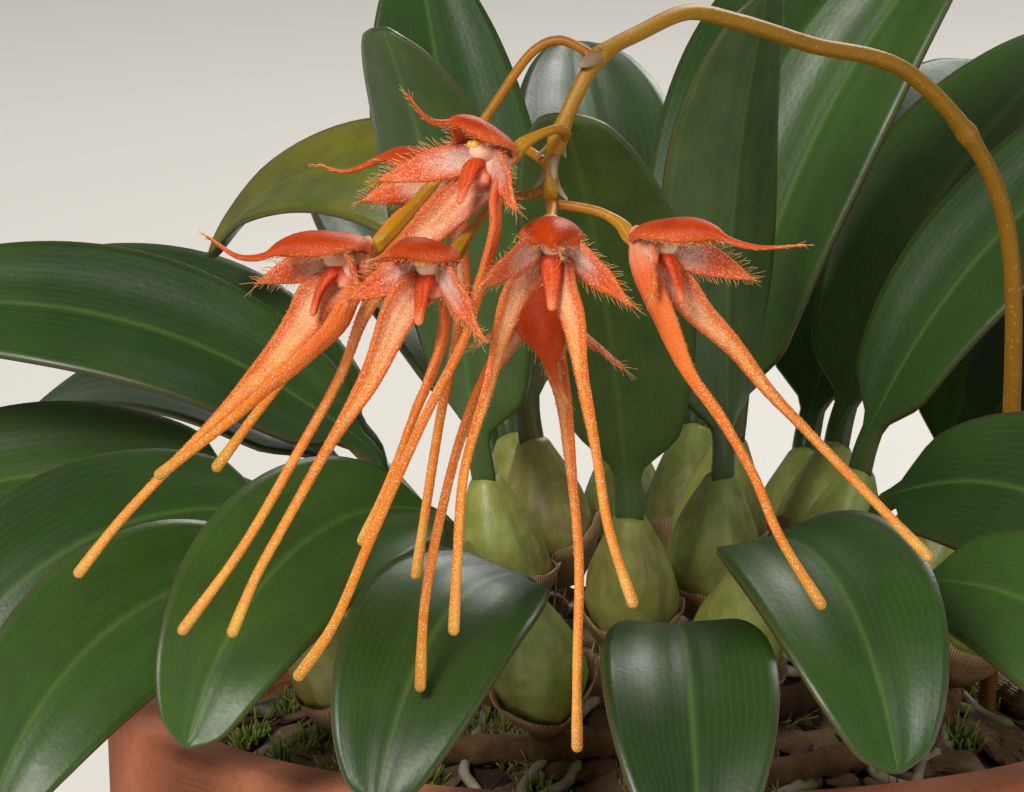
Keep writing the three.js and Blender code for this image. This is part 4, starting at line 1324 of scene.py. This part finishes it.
def bract(root, lean, out, length, width):
    """A thin pointed bract that clasps a joint and stands a little away from it."""
    path = [root - lean * 0.3, root + lean * length * 0.4 + out * 0.06, root + lean * length + out * 0.2]
    shares = stations(16, 1.0, 0.1, 3)
    half = width * np.sin(math.pi * np.clip(0.25 + 0.72 * shares, 0, 1)) ** 0.8
    return blade(path, -out, shares, 8, np.maximum(half, 0.05), 0.08 * rounded(shares, 0.05), 1.2)


bracts = []
rng = np.random.default_rng(3)
for number, at in enumerate(joint_at[:3]):
    spot, lean = (np.array(v[0]) for v in follow(scape_path, [at]))
    out = unit(np.cross(lean, (0.3 + number, 0.2, 0.9)))
    bracts.append((bract(spot + out * 0.52, lean, out, 2.8 if number < 2 else 1.6, 0.7), thin_bract))
for k in range(7):
    at = joint_at[3] + (joint_at[4] - joint_at[3]) * k / 6
    spot, lean = (np.array(v[0]) for v in follow(scape_path, [at]))
    angle = 0.6 + k * 2.3
    out = np.array([math.cos(angle), math.sin(angle), 0.1])
    out = unit(out - lean * out.dot(lean))
    lean = unit(lean + out * 0.35)
    bracts.append((bract(spot + out * 0.42, lean, out, rng.uniform(0.9, 1.5), 0.34), thin_bract))
make_piece("flower_stem_bracts", bracts, ["flower_stem"], where=from_umbel)

for number, flower in enumerate(FLOWERS, 1):
    reach = directions(flower)[3]
    path = [*flower["stalk"], reach(-1.0, 0.08), reach(-0.35, 0.05)]
    shares = np.linspace(0, 1, 90)
    radius = mix(0.27, 0.44, smoothstep(shares, 0.5, 0.92)) + 0.08 * np.exp(-((shares / 0.02) ** 2))

    def ribs(share, angle):
        return 0.04 * np.cos(6 * angle) * smoothstep(share, 0.6, 0.85)

    stalk = tube(path, shares, 24, radius * rounded(shares, 0.03), relief=ribs)
    make_piece(f"stalk_{number}", [(stalk, golden)], ["flower_stem"],
               tone=0.55 + 0.4 * abs(jitter(number, 7)), where=from_umbel)
print("joints on the scape:", np.round(joint_at, 3))

# %% [markdown]
# ## Finishes of the flower
#
# A petal gets its colour from where a point lies on it. Along it, the side sepals go from a pale
# throat through salmon and orange to golden tips. Across them, the middle is pale gold, the outer edge
# is deep salmon and the inner edge near the throat is grey and glassy. The whole surface is set with
# tiny domed cells, with painted shade at the foot of each and a painted highlight on the tops of some.
# The attributes from the skins drive all of this. Painted images would tie it to one unwrapping, and
# they are not wanted here.

# %% The common parts of a petal's finish
def flesh(name, roughness, depth, soft=(1.0, 0.40, 0.15), gleam=0.22):
    """The common start of a petal: soft light inside it, and a shader to drive."""
    return finish(name, Roughness=roughness, Subsurface_Weight=depth, Specular_IOR_Level=gleam,
                  Subsurface_Radius=soft, Subsurface_Scale=0.7 * MM)


CELL_SCALE = 9000.0


def glisten(tree, shader, colour, blush_and_gap_shade, painted_glint_colour, share, painted_glint_amount, dark, relief=0.7, rough=None):
    """The common end of a petal: soft blotches, painted shade between its cells, painted highlights on some.
    """
    soft = mottle(tree, colour, blush_and_gap_shade, 900.0, 0.35)
    dots = glints(tree, CELL_SCALE, share)
    # Painted shade: the gaps between the cells are darkened towards a multiplied blush, by the amount dark.
    deep = blend(tree, 0.45, soft["Color"], blush_and_gap_shade, "MULTIPLY")
    colour = blend(tree, times(tree, dots["Painted gap shade"], dark), soft["Color"], deep)
    # Painted highlight: the tops of some cells are lightened towards a pale glint colour.
    colour = blend(tree, times(tree, dots["Painted glints"], painted_glint_amount), colour, painted_glint_colour)
    drive(tree, shader, Base_Color=colour, Normal=bump(tree, dots["Height"], relief, 0.07))
    if rough is not None:
        rough = math_node(tree, "SUBTRACT", rough, times(tree, dots["Painted glints"], 0.25))
        drive(tree, shader, Roughness=rough)


# %% Sepal and petal finishes
def sepal_material():
    """The inner face and the tail all round get painted glints and painted gap shade. The back is smooth."""
    material, tree, shader = flesh("sepal_flesh", 0.5, 0.2)
    along, across, face = mark(tree, "along"), mark(tree, "across"), mark(tree, "face")
    front = band(tree, face, -0.2, 0.2)
    edge = ramp(tree, along, [
        (0.0, "#e0a886"), (0.09, "#da6c3c"), (0.30, "#df752c"), (0.55, "#e07d1c"),
        (0.80, "#de8a20"), (0.95, "#d29a2c"), (1.0, "#b9922c"),
    ], smooth=False)
    middle = ramp(tree, along, [
        (0.0, "#ecb795"), (0.09, "#efb692"), (0.20, "#f5c08c"), (0.34, "#f4b163"),
        (0.52, "#f09a3c"), (0.78, "#eaa23a"), (0.95, "#e6b04e"), (1.0, "#cfa748"),
    ], smooth=False)
    off = math_node(tree, "ABSOLUTE", math_node(tree, "SUBTRACT", across, 0.1))
    pale = times(tree, band(tree, off, 0.98, 0.30), front)
    colour = blend(tree, times(tree, pale, 0.9), edge, middle)
    glass = times(tree, band(tree, across, 0.30, 0.80), band(tree, along, 0.16, 0.07), front)
    colour = blend(tree, times(tree, glass, 0.7), colour, "#b98e7d")
    # Painted highlight and painted shade of the cells go on the inner face and on the tail only.
    painted_sparkle_area = math_node(tree, "MAXIMUM", front, band(tree, along, 0.25, 0.45))
    glisten(tree, shader, colour, "#df5c22", "#fff0dc", 0.5, times(tree, painted_sparkle_area, 0.42),
            times(tree, painted_sparkle_area, 0.35), rough=0.5)
    return material


def petal_material():
    material, tree, shader = flesh("petal_flesh", 0.5, 0.22)
    along, across = mark(tree, "along"), mark(tree, "across")
    salmon = ramp(tree, along, [
        (0.0, "#e3a286"), (0.22, "#e27346"), (0.6, "#e26126"), (1.0, "#ea7c38"),
    ], smooth=False)
    middle = math_node(tree, "ABSOLUTE", across)
    pale = times(tree, band(tree, middle, 0.98, 0.45), band(tree, along, 0.66, 0.30))
    colour = blend(tree, times(tree, pale, 0.85), salmon, "#e0c8b6")
    streaks = veined(tree, 5.0, 4.0, 0.25)
    colour = blend(tree, times(tree, streaks, 0.12), colour, "#e59a78")
    glisten(tree, shader, colour, "#dd5526", "#fff3e6", 0.5, 0.42, 0.35, rough=0.5)
    return material


def hood_material():
    material, tree, shader = flesh("hood_flesh", 0.45, 0.12, gleam=0.14)
    along, across, face = mark(tree, "along"), mark(tree, "across"), mark(tree, "face")
    outside = ramp(tree, along, [
        (0.0, "#b8541a"), (0.2, "#a23304"), (0.5, "#a83502"), (0.8, "#bd5016"),
        (1.0, "#dc9a5c"),
    ], smooth=False)
    off = math_node(tree, "ABSOLUTE", across)
    flank = times(tree, band(tree, off, 0.55, 1.0), band(tree, along, 0.66, 0.5))
    outside = blend(tree, times(tree, flank, 0.5), outside, "#dc6c38")
    inside = ramp(tree, along, [(0.0, "#dd9a78"), (0.4, "#cf6a3e"), (1.0, "#c04c1e")])
    colour = blend(tree, band(tree, face, -0.2, 0.2), outside, inside)
    # Painted highlight: more painted glints on the flanks' cell tops, with a little painted gap shade over
    # the whole hood.
    flank_painted_glints = math_node(tree, "ADD", 0.02, times(tree, flank, 0.25))
    glisten(tree, shader, colour, "#cb4a10", "#fbd4b4", 0.5, flank_painted_glints, 0.12, relief=0.25)
    return material


def lip_material():
    material, tree, shader = flesh("lip_flesh", 0.42, 0.25)
    along, across = mark(tree, "along"), mark(tree, "across")
    colour = ramp(tree, along, [
        (0.0, "#eca084"), (0.16, "#ea9474"), (0.30, "#c23c12"), (0.75, "#c84a16"),
        (1.0, "#e88a5c"),
    ], smooth=False)
    off = math_node(tree, "ABSOLUTE", across)
    # Painted highlight: a lighter orange band down the middle of the hanging strap, where its ridge catches
    # the light.
    ridge = times(tree, band(tree, off, 0.40, 0.05), band(tree, along, 0.3, 0.5))
    colour = blend(tree, times(tree, ridge, 0.35), colour, "#e27838")
    glisten(tree, shader, colour, "#cc4214", "#ffd8b8", 0.5, 0.14, 0.2, relief=0.25)
    return material


def column_material():
    material, tree, shader = flesh("column_flesh", 0.45, 0.25, (1.0, 0.6, 0.4))
    colour = ramp(tree, mark(tree, "along"), [
        (0.0, "#d8865a"), (0.45, "#e4b296"), (1.0, "#eec8ac"),
    ], smooth=False)
    glisten(tree, shader, colour, "#dd9468", "#fff2de", 0.3, 0.3, 0.25, relief=0.3)
    return material


def cap_material():
    material, tree, shader = flesh("anther_cap", 0.30, 0.2, (1.0, 0.8, 0.4))
    base = mottle(tree, "#f7d878", "#ee9a30", 1800.0, 0.6)
    grainy = roughen(tree, 5000.0, 0.5)
    drive(tree, shader, Base_Color=base["Color"], Normal=bump(tree, grainy["Height"], 0.3, 0.05))
    return material


def fringe_material():
    material, tree, shader = flesh("fringe_hair", 0.42, 0.1)
    colour = ramp(tree, mark(tree, "along"), [(0.0, "#d96216"), (0.5, "#e09345"), (1.0, "#f4d7a4")])
    spot = mottle(tree, colour, "#c55d11", 2600.0, 0.4)
    drive(tree, shader, Base_Color=spot["Color"])
    return material


sepal_flesh, petal_flesh, hood_flesh = sepal_material(), petal_material(), hood_material()
lip_flesh, column_flesh = lip_material(), column_material()
anther_cap, fringe_hair = cap_material(), fringe_material()
print("materials so far:", len(bpy.data.materials))

# %% [markdown]
# ## Side sepals
#
# The two side sepals are what makes this flower a shooting star: near the throat each is a folded
# strap turned in towards its twin, and further down it closes to a slender rod with a blunt tip.
# Their edges are rough with short stubby hairs. A blade whose ring turns to a circle gives the change
# of section in one skin, so that nothing shows a joint. Where light grazes them one sees that each
# glistening cell is a little cone, so the near part carries such cones too.

# %% Side sepals
# The spread goes from the rod's half width (0) to the broadest (1), by millimetres from the throat.
SEPAL_RUN = [-1, 0, 1.5, 3, 4.5, 6, 8, 10, 12, 15, 18, 60]
SEPAL_SPREAD = [0.4, 0.45, 0.75, 1.0, 0.95, 0.75, 0.48, 0.28, 0.16, 0.06, 0, 0]
ROD_RADIUS, SEPAL_CONES, PETAL_CONES, CONE_SIZE = 0.27, 1250, 750, {"sepal": 0.06, "petal": 0.07}
SIDES_OF_FLOWER = (("right", 1), ("left", -1))


def eased(value, at, levels):
    """A smooth curve through a short table."""
    fine = np.linspace(at[0], at[-1], 1200)
    window = np.hanning(41)
    drawn = np.pad(np.interp(fine, at, levels), 20, mode="edge")
    drawn = np.convolve(drawn, window / window.sum(), mode="valid")
    return np.interp(value, fine, drawn)


def sepal(flower, side, rng):
    forward, _, right, reach = directions(flower)
    sign = SIDES_OF_FLOWER[side][1]
    turned = math.radians(flower["turned"][side])
    facing = forward * math.cos(turned) - right * math.sin(turned) * sign
    path = [reach(-0.5, -0.1, 0.34 * sign), reach(-0.25, -1.0, 0.5 * sign), *flower["sepals"][side]]
    length = float(np.linalg.norm(np.diff(np.array(path, float), axis=0), axis=1).sum())
    tip = 0.34 / length
    shares = stations(96, 1.05, tip, 6)
    run = shares * length
    spread = eased(run / flower["shoulder"], SEPAL_RUN, SEPAL_SPREAD)
    width = (ROD_RADIUS + (flower["broad"][side] - ROD_RADIUS) * spread) * rounded(shares, tip)
    rod = (ROD_RADIUS + 0.05 * smoothstep(shares, 0.86, 0.97)) * rounded(shares, tip)
    seed = rng.uniform(0, 6.3)

    def relief(share, v, face):
        ribs = 0.035 * np.cos(3.5 * math.pi * v + 0.3) * np.exp(-share / 0.25)
        pimples = rng.normal(0, 0.011, np.broadcast(share, v).shape)
        return ribs * face + pimples

    def lift(share, v):
        return 0.05 * v * np.sin(26 * share + seed) * smoothstep(share, 0.05, 0.2)

    part = blade(path, facing, shares, 18, width, mix(0.50, 0.44, shares), 0.75,
                 roundness=smoothstep(run, 8.5, 15.5), rod=rod, relief=relief, lift=lift)
    roots, out, along, share, _ = margin(part, 0.04, 0.90, 0.12, rng)
    lengths = rng.uniform(0.08, 0.18, len(roots)) * (1.15 - 0.8 * share)
    leans = unit(out + along * rng.uniform(0.0, 0.6, (len(roots), 1)) + rng.normal(0, 0.25, out.shape))
    stubble = hairs(roots - out * 0.04, leans, along * 0.3, lengths, 0.042, steps=2)
    stubble["marks"][:, 0] = np.repeat(share, 9)
    cones = papillae(part, 0.03, 0.60, SEPAL_CONES, CONE_SIZE["sepal"], rng)
    for made in (part, cones):
        made["marks"][:, 1] *= sign
    return [(part, sepal_flesh), (stubble, sepal_flesh), (cones, sepal_flesh)]


def grow_pairs(title, build, rng):
    """One part on each side of every flower."""
    for number, flower in enumerate(FLOWERS, 1):
        for side, (label, _) in enumerate(SIDES_OF_FLOWER):
            make_piece(f"flower_{number}_{title}_{label}", build(flower, side, rng), [f"flower_{number}"],
                       tone=rng.uniform(), where=from_umbel)


grow_pairs("sepal", sepal, np.random.default_rng(11))
print("faces in one sepal:", tally["flower_1_sepal_left"])

# %% [markdown]
# ## Petals
#
# The two petals are short lances that spread like a moustache, with a glassy pale middle and a fringe
# of long curved hairs, longest at the tip. The hairs need real geometry: against a dark background
# they are half of what one sees of a petal.

# %% Petals with their fringe
def fringe(part, low, high, spacing, upper, lower, rng, thick=0.031, slant=0.7):
    """A row of hairs on both edges. Upper and lower are their greatest lengths."""
    roots, out, along, share, which = margin(part, low, high, spacing, rng)
    grow = 0.6 + 0.4 * np.sin(math.pi * np.clip(0.1 + 0.7 * share, 0, 1))
    lengths = np.where(which > 0, upper, lower) * grow * rng.uniform(0.75, 1.1, len(roots))
    leans = out + along * slant * rng.uniform(0.6, 1.3, (len(roots), 1)) + rng.normal(0, 0.12, out.shape)
    bends = along * rng.uniform(0.0, 0.6, (len(roots), 1)) + rng.normal(0, 0.12, out.shape)
    return hairs(roots - out * 0.06, unit(leans), bends, lengths, thick, steps=4)


def tip_tuft(part, count, length, rng, spread=0.25, thick=0.031):
    """A brush of longer hairs that carries on beyond the tip."""
    rings = part["rings"]
    heading = unit(rings[-1].mean(0) - rings[-6].mean(0))
    roots = rings[-1].mean(0) - heading * rng.uniform(0.05, 0.8, (count, 1))
    leans = unit(heading + rng.normal(0, spread, (count, 3)))
    bends, lengths = rng.normal(0, 0.15, (count, 3)), length * rng.uniform(0.5, 1, count)
    return hairs(roots, leans, bends, lengths, thick, steps=4)


def petal(flower, side, rng):
    forward, dorsal, right, reach = directions(flower)
    sign = SIDES_OF_FLOWER[side][1]
    root, tip = reach(0.55, -0.15, 0.35 * sign), np.array(flower["petals"][side], float)
    tip = tip - unit(tip - root) * 0.8
    path = [root, (root + tip) / 2 + dorsal * 0.12, tip]
    shares = stations(52, 1.0, 0.03, 4)
    oval = np.sin(math.pi * np.clip(0.20 + 0.80 * shares**0.85, 0, 1)) ** 0.95
    width = np.maximum(0.96 * oval, 0.07) * rounded(shares, 0.03)
    seed = rng.uniform(0, 6.3)

    def relief(share, v, face):
        swell = 0.03 * np.cos(3 * math.pi * v) * face * np.sin(math.pi * share)
        return swell + rng.normal(0, 0.010, np.broadcast(share, v).shape)

    def lift(share, v):
        return 0.07 * v**2 * np.sin(15 * share + seed + v) * smoothstep(share, 0.15, 0.4)

    part = blade(path, forward - right * 0.5 * sign, shares, 14, width, mix(0.40, 0.24, shares), 0.45,
                 relief=relief, lift=lift)
    lengths = (0.74, 0.5) if sign < 0 else (0.5, 0.74)
    return [(part, petal_flesh), (fringe(part, 0.14, 0.97, 0.17, *lengths, rng), fringe_hair),
            (tip_tuft(part, 7, 1.2, rng), fringe_hair),
            (papillae(part, 0.05, 0.92, PETAL_CONES, CONE_SIZE["petal"], rng), petal_flesh)]


grow_pairs("petal", petal, np.random.default_rng(12))
print("faces in one petal:", tally["flower_1_petal_left"])

# %% [markdown]
# ## The hood
#
# The upper sepal arches over the column like a bonnet and runs out into a thread. It is smooth and deep
# red outside and pale inside, lighter along its flanks, with a short fringe on its edge and a few side
# hairs on the thread. It is the same kind of blade as the side sepals, folded down at its sides.

# %% Hoods
# The spine is (ahead, above), and the half width goes by the share of the hood's body.
HOOD_SPINE = [(-0.75, 0.25), (-0.1, 0.76), (1.0, 1.1), (2.2, 1.33), (3.3, 1.32), (4.3, 1.05), (5.2, 0.58)]
HOOD_ALONG = [0, 0.12, 0.28, 0.45, 0.62, 0.78, 0.92, 1.0, 1.15, 9]
HOOD_WIDE = [1.0, 1.65, 2.05, 2.1, 1.95, 1.4, 0.75, 0.4, 0.16, 0.16]


def hood(flower, rng):
    """A short hood keeps its front higher, so that its thread still starts level."""
    _, dorsal, _, reach = directions(flower)
    short = flower["hood"]
    spine = [reach(ahead * (short if ahead > 0 else 1), above + 1.2 * (1 - short) * (ahead / 5.2) ** 2)
             for ahead, above in HOOD_SPINE]
    path = np.vstack([spine, flower["tail"]])
    steps = np.linalg.norm(np.diff(path, axis=0), axis=1)
    body = steps[: len(spine) - 1].sum() / steps.sum()
    shares = stations(76, 1.0, 0.02, 4)
    along_body = shares / body
    width = np.interp(along_body, HOOD_ALONG, HOOD_WIDE)
    width = np.convolve(np.pad(width, 3, mode="edge"), np.ones(7) / 7, mode="valid")
    rod = mix(0.22, 0.07, smoothstep(along_body, 0.9, 1.7)) * rounded(shares, 0.02)

    def relief(share, v, face):
        keel = 0.04 * np.exp(-((v / 0.18) ** 2)) * (face < 0) * smoothstep(share, 0.2, 0.45)
        return keel + rng.normal(0, 0.005, np.broadcast(share, v).shape)

    fold = mix(0.85, 1.75, smoothstep(along_body, 0.15, 0.8))
    part = blade(path, -dorsal, shares, 20, np.maximum(width, 0.16), mix(0.42, 0.34, shares), fold,
                 roundness=smoothstep(along_body, 0.84, 1.08), rod=rod, relief=relief)
    rim = fringe(part, 0.10 * body, 0.98 * body, 0.17, 0.55, 0.55, rng, slant=0.9)
    side_hairs = fringe(part, 1.02 * body, 0.98, 0.5, 0.5, 0.5, rng, slant=1.2)
    return [(part, hood_flesh), (rim, fringe_hair), (side_hairs, fringe_hair),
            (tip_tuft(part, 5, 0.9, rng, 0.2, 0.024), fringe_hair)]


rng = np.random.default_rng(13)
for number, flower in enumerate(FLOWERS, 1):
    make_piece(f"flower_{number}_hood_blade", hood(flower, rng), [f"flower_{number}_hood"],
               tone=rng.uniform(), where=from_umbel)
print("faces in one hood:", tally["flower_1_hood_blade"])

# %% [markdown]
# ## Column and lip
#
# Under the hood stands the column, the joined stamen and pistil: a short pale pillar with a waxy
# yellow anther cap of two lobes and two small teeth beside it. Its foot runs down to the lip, a fleshy
# tongue on a hinge that rocks in the wind. It starts as a pink knob, folds sharply over and hangs down
# as a narrow strap with a ridge along its middle.

# %% Columns and lips
def ball(centre, axes, sizes):
    """An egg from rings: axes are three unit vectors and sizes its three half lengths."""
    turn = np.linspace(0.08, math.pi - 0.08, 14)
    around = np.arange(20) * 2 * math.pi / 20
    a = np.sin(turn)[:, None] * np.cos(around)[None] * sizes[1]
    b = np.sin(turn)[:, None] * np.sin(around)[None] * sizes[2]
    c = -np.cos(turn)[:, None] * np.ones_like(around)[None] * sizes[0]
    rings = centre + c[..., None] * axes[0] + a[..., None] * axes[1] + b[..., None] * axes[2]
    return skin(rings, (turn / math.pi)[:, None], np.zeros_like(around)[None])


def column(flower):
    forward, dorsal, right, reach = directions(flower)
    shares = stations(22, 1.0, 0.26, 6)
    barrel = tube([reach(-0.85, 0.15), reach(0.4, 0.0), reach(1.95, -0.16)], shares, 24,
                  mix(0.66, 0.60, shares) * rounded(shares, 0.24), hint=dorsal)
    shares = stations(16, 1.0, 0.15, 4)
    heel = tube([reach(0.0, 0.0), reach(0.45, -0.7), reach(0.7, -1.45)], shares, 20,
                mix(0.78, 0.46, shares) * rounded(shares, 0.12), hint=forward)
    caps = [(ball(reach(1.8, 0.16, 0.17 * s), (forward, right, dorsal), (0.34, 0.20, 0.24)), anther_cap)
            for s in (1, -1)]
    teeth = hairs(
        np.array([reach(1.5, 0.05, 0.50), reach(1.5, 0.05, -0.50)]),
        np.array([forward * 0.8 + dorsal * 0.3 + right * 0.25, forward * 0.8 + dorsal * 0.3 - right * 0.25]),
        np.array([-dorsal * 0.2, -dorsal * 0.2]), [0.55, 0.55], 0.12, sides=6, steps=5)
    return [(barrel, column_flesh), (heel, column_flesh), *caps, (teeth, column_flesh)]


def lip(flower):
    """Where the side sepals lean forward, the lip leans with them."""
    forward, dorsal, _, reach = directions(flower)
    pair = flower["sepals"]
    between = np.mean([pair[0][0], pair[1][0]], axis=0) - np.array(flower["at"], float)
    lead = max(0.0, between.dot(forward)) / max(1.0, -between.dot(dorsal))
    knob = 0.8 + 0.15 * lead
    path = [reach(knob, -1.95), reach(knob + 0.02, -1.35), reach(knob + 0.5, -0.85),
            reach(knob + 0.92, -1.15), reach(1.7 + 1.1 * lead, -2.1 + 0.3 * lead),
            reach(1.9 + 1.7 * lead, -3.35 + 0.35 * lead)]
    shares = stations(48, 1.0, 0.05, 6)
    close = rounded(shares, 0.06) * rounded(1 - shares, 0.07)
    swell = 0.50 * (1 - smoothstep(shares, 0.12, 0.34)) + 0.52 * smoothstep(shares, 0.16, 0.38)
    width = swell * mix(1.0, 0.42, smoothstep(shares, 0.45, 1.0)) * close
    thick = mix(0.95, 0.40, smoothstep(shares, 0.15, 0.7)) * close

    def relief(share, v, face):
        ridge = 0.06 * np.exp(-((v / 0.22) ** 2)) - 0.05 * np.exp(-(((np.abs(v) - 0.5) / 0.2) ** 2))
        return ridge * (face < 0) * smoothstep(share, 0.35, 0.55) * (1 - smoothstep(share, 0.9, 1.0))

    width, thick = np.maximum(width, 0.05), np.maximum(thick, 0.05)
    return [(blade(path, -forward, shares, 14, width, thick, 0.5, relief=relief), lip_flesh)]


for number, flower in enumerate(FLOWERS, 1):
    make_piece(f"flower_{number}_column", column(flower), [f"flower_{number}"], where=from_umbel)
    make_piece(f"flower_{number}_lip_tongue", lip(flower), [f"flower_{number}_lip"], where=from_umbel)
print("pieces:", len(tally), "faces in all:", sum(tally.values()))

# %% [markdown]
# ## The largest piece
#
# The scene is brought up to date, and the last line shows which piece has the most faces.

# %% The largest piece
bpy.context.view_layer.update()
print("largest piece:", max(tally, key=tally.get), max(tally.values()))
